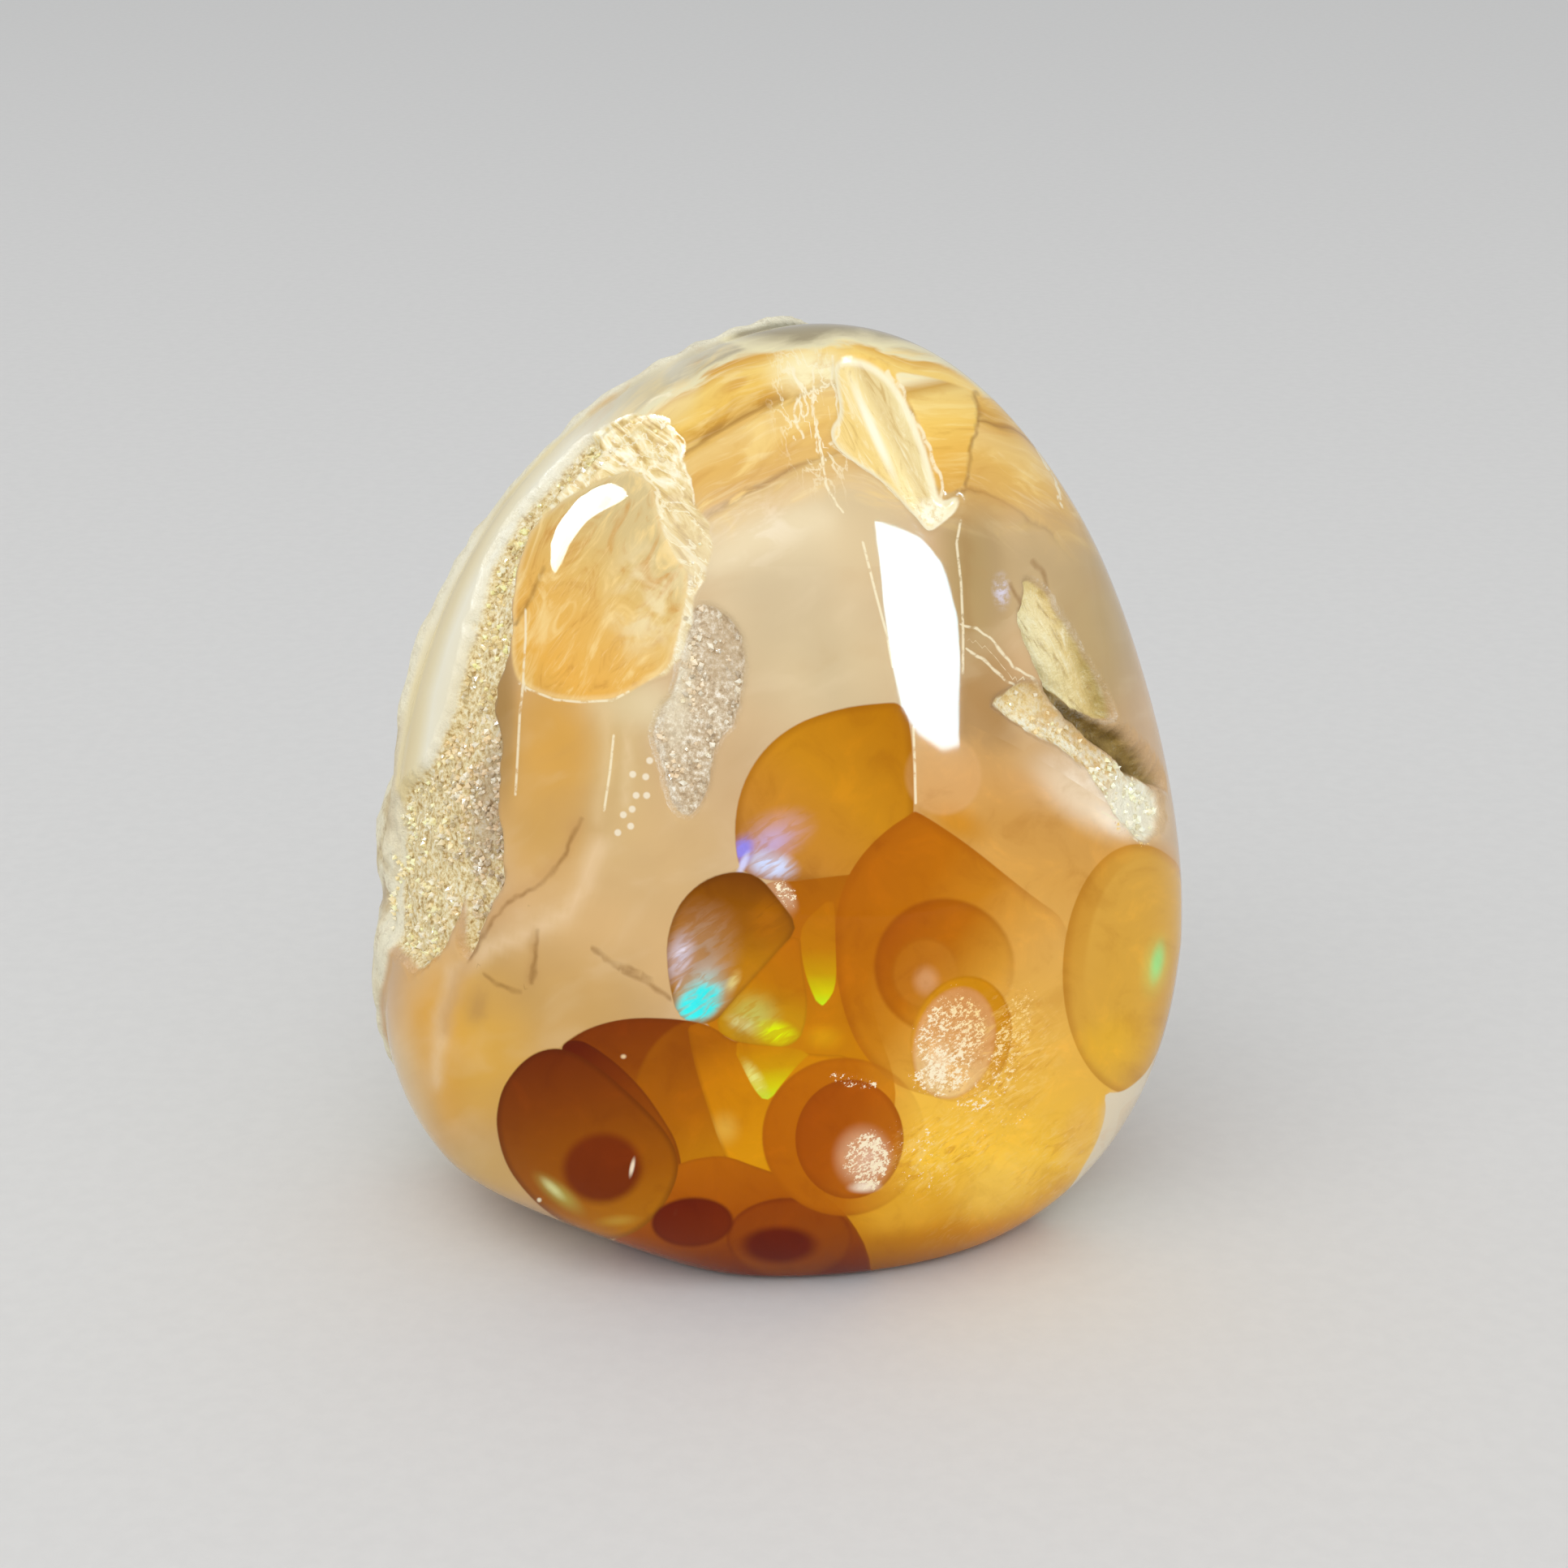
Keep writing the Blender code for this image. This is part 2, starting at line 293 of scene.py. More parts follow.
CRACK_LINES = (
    ((828, 532), (840, 560), (850, 596), (856, 620)),
    ((733, 547), (760, 566), (790, 577), (806, 600), (811, 640)),
    ((1024, 545), (1047, 565), (1088, 590), (1120, 625), (1145, 652)),
    ((1094, 456), (1114, 482), (1131, 518), (1147, 562), (1156, 596), (1163, 622)),
    ((1029, 440), (1026, 470), (1030, 500), (1036, 520), (1026, 545)),
    ((1005, 450), (998, 500), (1012, 545), (1018, 590), (1036, 630)),
    ((975, 452), (985, 478), (978, 510), (992, 540)),
    ((1184, 768), (1204, 773), (1222, 788), (1239, 805), (1251, 823), (1272, 836), (1310, 872)),
    ((1222, 478), (1250, 510), (1275, 545), (1297, 590), (1308, 625)),
    ((1192, 800), (1215, 812), (1232, 835), (1255, 846)),
    ((1360, 1000), (1384, 1012), (1404, 1040)),
    ((795, 498), (810, 490), (824, 487)),
)

# Broad soft lines in the body: points, reach in pixels, screen colour and strength
SOFT_LINES = (
    (((735, 1045), (720, 1090), (697, 1128), (660, 1145), (600, 1170), (560, 1200), (545, 1260),
      (537, 1330)), 12.0, (238, 208, 164), 0.6),
    (((577, 1183), (560, 1215), (548, 1270)), 9.0, (196, 146, 84), 0.5),
    (((708, 1018), (690, 1062), (640, 1098), (600, 1138)), 10.0, (200, 152, 92), 0.45),
    (((590, 1232), (590, 1250)), 11.0, (182, 138, 80), 0.6),
    (((655, 1150), (653, 1210)), 6.0, (190, 145, 85), 0.5),
    (((748, 880), (745, 960), (735, 1010)), 9.0, (228, 198, 146), 0.5),
    (((775, 900), (772, 990)), 7.0, (232, 206, 160), 0.5),
    (((870, 640), (930, 610), (1000, 600)), 16.0, (238, 208, 156), 0.4),
    (((880, 690), (940, 660), (1010, 640)), 18.0, (240, 222, 184), 0.5),
    (((1190, 640), (1192, 760), (1190, 900)), 8.0, (168, 130, 78), 0.45),
    (((1215, 640), (1225, 700), (1232, 760)), 12.0, (178, 150, 108), 0.4),
    (((1262, 650), (1300, 720), (1330, 790)), 14.0, (188, 160, 116), 0.35),
    (((1200, 850), (1222, 880), (1245, 910)), 13.0, (176, 134, 80), 0.55),
)

# White dots shut in the body
WHITE_DOT_RADIUS = 5.5
WHITE_DOTS = (
    (801, 937), (780, 954), (796, 957), (784, 980), (797, 980), (779, 997), (768, 1004),
    (777, 1018), (761, 1026),
)

# One sheet of the fire: an outline, a line across it from start to end, and on that line the
# stops (share of the way, screen colour, cover). The stops mix the sheet's own colours with
# painted shade, most sheets darker at their upper edge. The rim is an edge tone inside it, in
# most sheets a darker painted shade as in the valleys between rounded lobes.
Sheet = namedtuple(
    "Sheet",
    "name outline start end stops rim_colour rim_width rim_strength edge",
    defaults=((120, 60, 0), 10.0, 0.0, 1.3),
)

# A soft patch of colour, kept inside the named sheet where one is given. A few are painted
# glints and glows, each marked where it stands.
Glow = namedtuple("Glow", "centre radii tilt colour strength inside core", defaults=(None, 0.2))
WRINKLED_SHEETS = ("upper", "eye", "fan", "leaf")

# The fire from the back to the front
FIRE = (
    # The bed's bright lower band is partly a painted glow of light passing through the stone, and
    # its last, darkest stops are painted shade where the stone curves under.
    Sheet(
        "bed", (
            (1128, 875), (1180, 903), (1250, 935), (1330, 985), (1400, 1035), (1450, 1050),
            (1500, 1180), (1450, 1310), (1368, 1352), (1362, 1400), (1345, 1445), (1290, 1560),
            (1200, 1640), (1000, 1640), (960, 1500), (957, 1290), (1040, 1100), (1128, 1060),
        ), (1185, 905), (1185, 1580),
        (
            (0.0, 214, 160, 92, 0.0), (0.08, 212, 156, 86, 0.55), (0.16, 208, 152, 74, 0.95),
            (0.27, 218, 161, 76), (0.38, 225, 171, 86), (0.6, 238, 183, 74), (0.78, 252, 200, 64),
            (0.9, 210, 140, 12), (1.0, 140, 70, 2),
        ), edge=16.0,
    ),
    Glow((1180, 1015), (55, 32), 25, (202, 134, 26), 0.8, None, 0.1),
    # These three bright patches are partly a painted glow of light passing through the stone.
    Glow((1120, 1500), (84, 30), -12, (240, 182, 56), 0.55),
    Glow((1232, 1462), (84, 52), -28, (252, 206, 88), 0.8),
    Glow((1330, 1400), (30, 60), 15, (238, 186, 96), 0.5),
    Glow((1338, 988), (96, 42), 36, (244, 220, 186), 0.85, None, 0.1),
    Glow((1372, 1012), (44, 22), 36, (255, 242, 222), 0.7, None, 0.0),
    Sheet(
        "far_right", Oval((1402, 1196), (94, 156)), (1305, 1150), (1490, 1230),
        ((0.0, 206, 144, 46), (0.25, 218, 162, 60), (0.65, 228, 174, 56), (1.0, 196, 138, 40)),
        (184, 118, 26), 14.0, 0.5,
    ),
    Glow((1385, 1285), (70, 50), 0, (240, 184, 40), 0.8, "far_right"),
    Sheet(
        "far_right_inner", Oval((1412, 1200), (76, 142)), (1330, 1150), (1490, 1230),
        ((0.0, 224, 170, 70, 0.7), (0.5, 224, 170, 60, 0.2), (1.0, 220, 160, 50, 0.0)), edge=4.0,
    ),
    Glow((1425, 1190), (24, 52), 10, (214, 206, 96), 0.9, "far_right", 0.0),
    Glow((1427, 1186), (12, 36), 10, (170, 236, 140), 0.95, "far_right", 0.1),
    Sheet(
        "upper", (
            (905, 1026), (908, 990), (919, 958), (934, 933), (953, 912), (975, 896), (999, 884),
            (1044, 871), (1090, 866), (1106, 866), (1114, 872), (1122, 892), (1126, 940),
            (1127, 1000), (1123, 1060), (1060, 1090), (987, 1085), (953, 1086), (930, 1080),
            (913, 1073), (908, 1054),
        ), (1100, 880), (935, 1070),
        ((0.0, 184, 116, 1), (0.45, 200, 134, 20), (0.75, 198, 132, 40), (1.0, 182, 122, 52)),
        (156, 92, 2), 12.0, 0.5,
    ),
    Glow((958, 1028), (60, 38), -20, (206, 162, 166), 0.85, "upper", 0.0),
    Glow((950, 1040), (40, 26), -10, (196, 172, 216), 0.7, "upper", 0.0),
    Glow((950, 1066), (42, 24), 12, (208, 218, 250), 1.0, "upper", 0.2),
    Glow((915, 1048), (18, 28), 20, (150, 138, 234), 1.0, "upper", 0.2),
    Glow((916, 1064), (7, 22), 24, (214, 214, 252), 0.9, None, 0.2),
    Sheet(
        "under_light", Oval((1163, 955), (47, 49)), (1130, 920), (1195, 1000),
        ((0.0, 222, 174, 118, 0.2), (1.0, 224, 170, 112, 0.5)), (236, 196, 150), 6.0, 0.15, 4.0,
    ),
    Sheet(
        "between", (
            (930, 1087), (987, 1085), (1034, 1079), (1070, 1076), (1070, 1240), (1110, 1345),
            (1090, 1400), (960, 1400), (930, 1292), (866, 1266), (870, 1240), (940, 1150),
        ), (1000, 1080), (1005, 1300),
        ((0.0, 170, 96, 2), (0.4, 184, 104, 1), (1.0, 200, 126, 3)),
    ),
    Glow((958, 1104), (24, 38), -28, (206, 158, 118), 0.8, "between", 0.2),
    Sheet(
        "great_disc", (
            (1127, 998), (1124, 1003), (1096, 1020), (1066, 1048), (1044, 1080), (1032, 1115),
            (1028, 1150), (1030, 1200), (1040, 1250), (1062, 1300), (1110, 1345), (1200, 1360),
            (1290, 1310), (1330, 1215), (1318, 1165), (1309, 1130), (1275, 1107), (1240, 1079),
            (1200, 1046), (1160, 1018),
        ), (1040, 1070), (1300, 1250),
        (
            (0.0, 178, 96, 1), (0.3, 187, 107, 2), (0.5, 200, 126, 18, 0.95),
            (0.68, 212, 146, 46, 0.6), (0.92, 216, 156, 62, 0.0),
        ), (164, 86, 0), 14.0, 0.5,
    ),
    Glow((968, 1102), (30, 13), 58, (206, 160, 126), 0.85, None, 0.1),
    Sheet(
        "eye", (
            (834, 1250), (826, 1220), (822, 1190), (821, 1156), (834, 1117), (857, 1091),
            (885, 1077), (913, 1073), (936, 1080), (953, 1100), (970, 1122), (985, 1143),
            (950, 1185), (910, 1230), (878, 1263), (850, 1260),
        ), (895, 1080), (870, 1262),
        ((0.0, 122, 64, 1), (0.3, 156, 92, 2), (0.55, 182, 118, 8), (1.0, 186, 126, 30)),
        (100, 52, 0), 9.0, 0.45,
    ),
    Glow((862, 1172), (60, 78), 15, (178, 146, 120), 0.85, "eye", 0.0),
    Glow((838, 1180), (24, 44), 14, (212, 200, 214), 0.9, "eye", 0.0),
    Glow((946, 1136), (34, 46), 0, (180, 106, 1), 0.8, "eye", 0.0),
    # These three thin white streaks are painted glints of reflected light.
    Glow((842, 1170), (24, 4), -32, (238, 230, 244), 0.9, "eye", 0.0),
    Glow((844, 1190), (20, 4), -48, (232, 224, 240), 0.9, "eye", 0.0),
    Glow((836, 1214), (14, 3), -60, (226, 226, 240), 0.8, "eye", 0.0),
    Glow((868, 1200), (46, 26), -24, (190, 176, 162), 0.7, "eye", 0.0),
    Glow((866, 1226), (48, 34), -32, (168, 214, 206), 0.95, "eye", 0.2),
    Glow((903, 1210), (10, 22), 30, (236, 220, 140), 0.7, "eye", 0.0),
    Glow((862, 1236), (38, 26), -34, (60, 240, 240), 1.0, "eye", 0.5),
    Sheet(
        "spark", (
            (984, 1142), (1010, 1118), (1028, 1102), (1029, 1150), (1031, 1213), (1021, 1232),
            (1010, 1242), (1000, 1222), (989, 1190),
        ), (1010, 1120), (1012, 1240),
        (
            (0.0, 184, 108, 2), (0.4, 192, 120, 2), (0.66, 200, 150, 1), (0.86, 208, 200, 2),
            (1.0, 194, 238, 30),
        ),
    ),
    Sheet(
        "fan", (
            (877, 1263), (905, 1231), (940, 1192), (985, 1141), (988, 1185), (997, 1247),
            (982, 1291), (930, 1288), (899, 1282),
        ), (978, 1150), (940, 1288),
        ((0.0, 182, 102, 1), (0.45, 190, 116, 2), (0.68, 196, 138, 8), (1.0, 196, 144, 8)),
        (150, 90, 0), 4.0, 0.3,
    ),
    Glow((928, 1252), (44, 38), -10, (198, 194, 96), 0.85, "fan", 0.0),
    Glow((916, 1262), (30, 14), 20, (226, 222, 160), 0.6, "fan", 0.0),
    Glow((956, 1272), (36, 20), 12, (222, 236, 4), 1.0, "fan", 0.15),
    Glow((1015, 1278), (34, 22), 0, (226, 168, 12), 0.5, "between", 0.0),
    Sheet(
        "behind", (
            (690, 1292), (700, 1282), (726, 1266), (772, 1254), (834, 1255), (877, 1263),
            (900, 1290), (905, 1400), (890, 1450), (800, 1490), (700, 1400),
        ), (800, 1255), (835, 1430),
        ((0.0, 126, 52, 1), (0.3, 142, 68, 1), (0.7, 174, 98, 1), (1.0, 194, 124, 4)),
        (108, 46, 0), 8.0, 0.4,
    ),
    Sheet(
        "behind_inner", Oval((870, 1370), (92, 116)), (790, 1300), (860, 1300),
        ((0.0, 166, 92, 1, 0.7), (1.0, 176, 100, 2, 0.2)), (130, 66, 0), 5.0, 0.3, 2.5,
    ),
    Sheet(
        "honey", (
            (846, 1258), (877, 1263), (899, 1282), (930, 1288), (1000, 1299), (1060, 1300),
            (1080, 1400), (1060, 1470), (960, 1480), (903, 1446), (886, 1409), (874, 1372),
            (858, 1321), (850, 1285),
        ), (872, 1285), (935, 1430),
        ((0.0, 168, 94, 1), (0.3, 202, 124, 1), (0.6, 212, 137, 1), (1.0, 220, 148, 6)),
        (150, 82, 0), 6.0, 0.4,
    ),
    Glow((893, 1392), (26, 30), 0, (232, 188, 84), 0.5, "honey", 0.0),
    Sheet(
        "leaf", (
            (899, 1282), (930, 1288), (982, 1291), (1000, 1299), (987, 1307), (966, 1332),
            (946, 1361), (930, 1345), (915, 1315),
        ), (940, 1286), (948, 1360),
        ((0.0, 198, 126, 1), (0.4, 206, 150, 2), (0.72, 216, 204, 8), (1.0, 204, 240, 40)),
    ),
    Glow((930, 1330), (14, 36), -30, (232, 228, 130), 0.9, "leaf", 0.0),
    Sheet(
        "left_back", (
            (688, 1286), (712, 1280), (735, 1292), (765, 1315), (794, 1345), (817, 1379),
            (835, 1410), (842, 1455), (760, 1400), (700, 1330),
        ), (720, 1285), (815, 1400),
        ((0.0, 98, 28, 1), (0.4, 122, 50, 1), (1.0, 150, 76, 1)), (92, 36, 0), 5.0, 0.3,
    ),
    # The low sheet's darkening towards its bottom is painted shade where the stone curves under.
    Sheet(
        "low", (
            (805, 1462), (817, 1446), (840, 1433), (868, 1427), (896, 1426), (930, 1440),
            (982, 1457), (1040, 1490), (1080, 1560), (1060, 1640), (900, 1640), (780, 1600),
            (740, 1540), (790, 1500),
        ), (890, 1428), (900, 1575),
        ((0.0, 182, 98, 1), (0.45, 173, 88, 1), (1.0, 116, 38, 1)), (150, 76, 0), 5.0, 0.35,
    ),
    Sheet(
        "left", (
            (613, 1385), (616, 1355), (624, 1332), (647, 1304), (675, 1291), (703, 1294),
            (738, 1315), (777, 1349), (811, 1383), (831, 1412), (837, 1440), (828, 1469),
            (812, 1495), (785, 1518), (749, 1529), (709, 1514), (675, 1492), (647, 1464),
            (624, 1430),
        ), (680, 1290), (725, 1525),
        ((0.0, 108, 38, 1), (0.3, 130, 60, 1), (0.7, 160, 88, 1), (1.0, 188, 118, 8)),
        (86, 32, 0), 9.0, 0.45,
    ),
    Glow((743, 1438), (56, 49), 0, (118, 42, 1), 0.95, "left", 0.7),
    Glow((690, 1468), (48, 16), 40, (186, 172, 80), 0.9, "left", 0.0),
    Glow((683, 1462), (26, 8), 44, (226, 226, 160), 0.85, "left", 0.0),
    Glow((762, 1503), (36, 10), -3, (204, 164, 60), 0.6, "left", 0.0),
    # These four small spots are painted glints of reflected light.
    Glow((779, 1438), (4, 16), 12, (255, 236, 204), 0.9, None, 0.2),
    Glow((666, 1476), (4, 4), 0, (255, 244, 210), 0.9, None, 0.3),
    Glow((832, 1494), (4, 8), 20, (250, 220, 180), 0.8, None, 0.2),
    Glow((768, 1302), (5, 4), 0, (250, 220, 170), 0.8, None, 0.2),
    Sheet(
        "low_pair_right", Oval((973, 1527), (78, 48)), (950, 1480), (975, 1575),
        ((0.0, 150, 66, 1), (0.5, 150, 70, 2, 0.9), (1.0, 150, 76, 4, 0.5)),
        (116, 42, 0), 8.0, 0.5, 2.5,
    ),
    Glow((960, 1536), (58, 27), 0, (100, 22, 1), 0.95, None, 0.55),
    Sheet(
        "low_pair_left", Oval((853, 1507), (50, 30)), (840, 1480), (860, 1540),
        ((0.0, 108, 28, 1), (1.0, 120, 40, 1, 0.95)), (96, 28, 0), 8.0, 0.35, 3.5,
    ),
    Sheet(
        "lower_ring", Oval((1040, 1402), (101, 99)), (945, 1390), (1150, 1410),
        ((0.0, 184, 98, 0), (0.5, 190, 106, 2, 0.95), (1.0, 214, 146, 44, 0.0)),
        (164, 84, 0), 8.0, 0.4, 2.0,
    ),
    Sheet(
        "lower_eye", Oval((1047, 1405), (67, 75)), (990, 1370), (1115, 1440),
        ((0.0, 164, 76, 0), (0.4, 171, 84, 1), (0.8, 188, 104, 12), (1.0, 206, 134, 44, 0.8)),
        (150, 70, 0), 10.0, 0.5,
    ),
    Glow((1064, 1428), (43, 48), 0, (208, 150, 108), 0.95, None, 0.5),
    Glow((1070, 1430), (34, 40), 10, (232, 190, 160), 0.8, None, 0.0),
    Glow((1066, 1465), (26, 10), -4, (255, 240, 216), 0.9, None, 0.1),
    Sheet(
        "upper_ring", Oval((1163, 1191), (86, 84)), (1095, 1130), (1245, 1250),
        (
            (0.0, 168, 82, 0), (0.4, 182, 102, 1, 0.95), (0.75, 206, 140, 28, 0.6),
            (1.0, 214, 150, 50, 0.0),
        ), (150, 76, 0), 12.0, 0.4, 3.5,
    ),
    Sheet(
        "upper_ring_inner", Oval((1140, 1199), (42, 44)), (1110, 1170), (1185, 1230),
        ((0.0, 186, 110, 12, 0.7), (0.6, 200, 130, 40, 0.4), (1.0, 200, 130, 40, 0.0)),
        (160, 84, 0), 6.0, 0.45, 4.0,
    ),
    Glow((1141, 1208), (22, 25), 0, (212, 152, 98), 0.9, None, 0.2),
    Sheet(
        "grain_ring", Oval((1184, 1280), (62, 79), 14), (1160, 1330), (1215, 1220),
        ((0.0, 224, 160, 60, 0.35), (0.55, 212, 144, 20, 0.9), (1.0, 206, 136, 8)),
        (178, 106, 0), 5.0, 0.5, 2.0,
    ),
    Sheet(
        "grain", Oval((1176, 1285), (50, 71), 14), (1195, 1220), (1150, 1340),
        ((0.0, 214, 148, 84), (0.5, 226, 168, 104), (1.0, 240, 200, 132)),
        (206, 132, 52), 6.0, 0.5, 2.5,
    ),
    # A painted highlight along the grain's lower left.
    Glow((1154, 1314), (24, 40), 14, (252, 228, 188), 0.75, "grain", 0.0),
)

# Places in the fire with pale grains that carry painted glints, sparkling like grains of metal:
# centre, radii, tilt, how densely
SPARKLES = (
    ((1172, 1278), (54, 70), 14, 1.0),
    ((1160, 1330), (44, 26), 0, 1.1),
    ((1070, 1432), (38, 46), 10, 1.1),
    ((1246, 1282), (26, 90), 16, 0.8),
    ((1215, 1345), (60, 22), -35, 0.7),
    ((1130, 1430), (50, 60), -20, 0.45),
    ((1230, 1385), (70, 30), -35, 0.35),
    ((1052, 1332), (40, 12), 12, 0.7),
    ((968, 1102), (26, 14), 58, 0.8),
    ((1395, 1020), (40, 20), 40, 0.7),
)

# Places rubbed with fine slanting scratches: centre, radii, tilt, how strongly
SCRATCH_ANGLE = -36
SCRATCHES = (
    ((1240, 1310), (80, 120), 20, 0.9),
    ((1165, 1420), (100, 70), -30, 0.9),
    ((1300, 1430), (110, 70), -40, 0.5),
    ((1210, 1500), (110, 40), -20, 0.2),
)

# How deep the hollows lie under the polish, and the width of their banks in pixels
HOLLOWS = {
    "left_druse": (0.75 * MM, 14.0),
    "middle_druse": (0.42 * MM, 11.0),
    "wedge": (0.36 * MM, 8.0),
    "floor": (0.55 * MM, 12.0),
    "groove": (1.1 * MM, 16.0),
}
SHELF_DEPTH = 1.1 * MM
SHELF_BANK = 9.0
SHELF_SLOPE_LENGTH = 62.0
SHELF_LEAST_SHARE = 0.12
CRUST_DEPTH = 0.11 * MM
CRUST_BANK = 12.0
LUMP_RISE = 0.13 * MM
LUMPS = ((1.0, 0.8 * MM), (0.6, 0.35 * MM))
LUMPY_DRUSES = (("left_druse", 12.0, 1.0), ("floor", 10.0, 1.0), ("middle_druse", 10.0, 0.6))
WINDOW_RISE = 0.16 * MM
WINDOW_REACH = 60.0

# Drusy quartz: crystals for each square millimetre of a zone, their size, and their colours as
# x, y and screen colour
CRYSTALS = {"left_druse": 13.0, "middle_druse": 11.0, "crust": 0.8, "floor": 6.0}
CRYSTAL_RADIUS = 0.14 * MM
CRYSTAL_SIZES = (0.5, 1.2)
CRYSTAL_SHADES = (0.74, 1.45)
CRYSTAL_SCATTER = 0.45
CRYSTAL_LIFT = 0.35
QUARTZ_ROUGHNESS = 0.2
QUARTZ_IOR = 1.3
CRYSTAL_SEED = 5
CLUMP_SIZE = 1.1 * MM
CLUMP_GROWTH = 0.5
BARE_BELOW = -0.12
TONE_REACH = (55, 70)
BRIGHT_SHARE = 0.24
BRIGHT_QUARTZ = (1.0, 0.96, 0.80)
CRYSTAL_COLOURS = {
    "left_druse": (
        (640, 640, 242, 224, 166), (585, 800, 240, 218, 160), (545, 930, 232, 208, 156),
        (590, 960, 200, 176, 150), (585, 1050, 192, 168, 140), (500, 1000, 244, 232, 186),
        (520, 1120, 246, 228, 178), (590, 1110, 200, 176, 140),
    ),
    "middle_druse": (
        (895, 780, 206, 184, 152), (885, 850, 196, 174, 144), (845, 950, 222, 200, 166),
        (830, 830, 244, 230, 200),
    ),
    "crust": (
        (780, 545, 238, 214, 158), (700, 600, 236, 210, 148), (850, 660, 246, 234, 204),
        (845, 760, 242, 226, 190),
    ),
    "floor": (
        (1260, 870, 244, 218, 154), (1330, 910, 250, 234, 194), (1405, 1000, 252, 245, 214),
    ),
}

# Lights: direction as azimuth and elevation, distance and size. A softbox only lights.
Lamp = namedtuple("Lamp", "name direction distance size radiance")
STUDIO = (
    Lamp("high_softbox", (-22, 48), 0.70, (0.80, 0.70), 1.17),
    Lamp("low_softbox", (34, 2), 0.70, (0.90, 0.34), 1.60),
)

# Bright panels, seen only in the polish: direction, distance, the turn in its own plane, how
# far it is swung about its diagonal, and the outline in its own plane in metres
Panel = namedtuple("Panel", "name direction distance roll swing radiance colour outline")
PANELS = (
    Panel(
        "front_window", (40, 30), 0.42, -25.0, 42.0, 115.0, (0.5, 0.8, 1.0, 1.0), (
            (-0.090, 0.118), (-0.086, -0.020), (-0.066, -0.110), (-0.046, -0.164),
            (-0.008, -0.174), (0.044, -0.150), (0.083, -0.112), (0.096, -0.020),
            (0.096, 0.028), (0.070, 0.083), (0.028, 0.103),
        ),
    ),
    Panel(
        "left_window", (-93, 41), 0.42, 20.0, 0.0, 66.0, (0.9, 0.97, 1.0, 1.0), (
            (0.004, -0.090), (-0.036, -0.082), (-0.086, -0.054), (-0.118, -0.010),
            (-0.134, 0.040), (-0.130, 0.078), (0.080, 0.084), (0.021, 0.034),
            (-0.006, 0.006), (0.004, -0.037), (0.016, -0.070),
        ),
    ),
)
WORLD_COLOUR = (0.60, 0.61, 0.63, 1.0)
WORLD_STRENGTH = 1.08
FLOOR_SIZE = 3.0
FLOOR_COLOUR = (226, 225, 222)
FIBRE_COLOUR = (204, 203, 201)


def linear(value):
    return value / 12.92 if value <= 0.04045 else ((value + 0.055) / 1.055) ** 2.4


def light(rgb):
    """A colour named by its screen values, 0 to 255, as linear light."""
    return np.array([linear(c / 255.0) for c in rgb])


def screen_colour(rgb, cover=1.0):
    return (*light(rgb), cover)


def smooth_step(value):
    value = np.clip(value, 0.0, 1.0)
    return value * value * (3.0 - 2.0 * value)


def bell(share):
    """1 where share is 0, falling off smoothly on both sides."""
    return np.exp(-np.minimum(share * share, 40.0))


def rounded_excess(value, rounding):
    """value where it is positive, 0 where it is negative, with the corner rounded."""
    near = (value + rounding) ** 2 / (4.0 * rounding)
    return np.where(value < -rounding, 0.0, np.where(value < rounding, near, value))


def unit(vectors, least=0.0):
    """The directions of vectors."""
    return vectors / np.maximum(np.linalg.norm(vectors, axis=1, keepdims=True), least)


def smooth_noise(points, size, shift=0.0):
    offset = Vector((shift, shift, shift))
    return np.array([noise.noise(Vector(p / size) + offset) for p in points])


def layered_noise(points, layers):
    """Noises added up. Each layer is its strength, its size and, where given, its shift."""
    return sum(strength * smooth_noise(points, *rest) for strength, *rest in layers)


def knobs(points, size):
    """Rounded lumps packed side by side, 0 in the seams and 1 on each top."""
    nearest = [noise.voronoi(Vector(p / size))[0][0] for p in points]
    return np.clip(1.0 - KNOB_STEEPNESS * np.array(nearest) ** 2, 0.0, 1.0)


def section(height):
    """The egg's cross-section there: its share of the full girth, and its centre's X and Y."""
    above = height > GIRTH_HEIGHT
    along = (height - GIRTH_HEIGHT) / np.where(above, CROWN_RISE, BOTTOM_DROP)
    along = np.clip(along, -1.0, 1.0)
    power = np.where(above, CROWN_POWER, BOTTOM_POWER)
    share = np.sqrt(np.clip(1.0 - np.abs(along) ** power, 0.0, 1.0))
    crown = CROWN_LEAN * np.abs(along) ** CROWN_LEAN_POWER
    belly = BELLY_LEAN * np.sin(math.pi * np.clip(-along, 0.0, 1.0))
    return share, np.where(above, crown, belly), BACKWARD_LEAN * along


def egg(directions):
    """The egg's surface points, one for each unit direction."""
    across, into, up = directions.T
    height = GIRTH_HEIGHT + up * np.where(up > 0, CROWN_RISE, BOTTOM_DROP)
    share, middle_x, middle_y = section(height)
    level = np.maximum(np.hypot(across, into), 1e-9)
    x = middle_x + HALF_WIDTH * share * across / level
    y = middle_y + HALF_DEPTH * share * into / level
    return np.stack([x, y, height], axis=1)


def outward(points):
    """The egg's outward direction at points on or near it."""
    x, y, height = points.T
    _, middle_x, middle_y = section(height)
    reach = np.where(height > GIRTH_HEIGHT, CROWN_RISE, BOTTOM_DROP)
    x = (x - middle_x) / HALF_WIDTH**2
    y = (y - middle_y) / HALF_DEPTH**2
    return unit(np.stack([x, y, (height - GIRTH_HEIGHT) / reach**2], axis=1))


def grind_flats(points):
    middle = np.array([0.0, 0.0, GIRTH_HEIGHT])
    for direction, distance in FLATS:
        direction = np.array(direction) / np.linalg.norm(direction)
        excess = rounded_excess((points - middle) @ direction - distance, FLAT_ROUNDING)
        points = points - excess[:, None] * direction
    return points


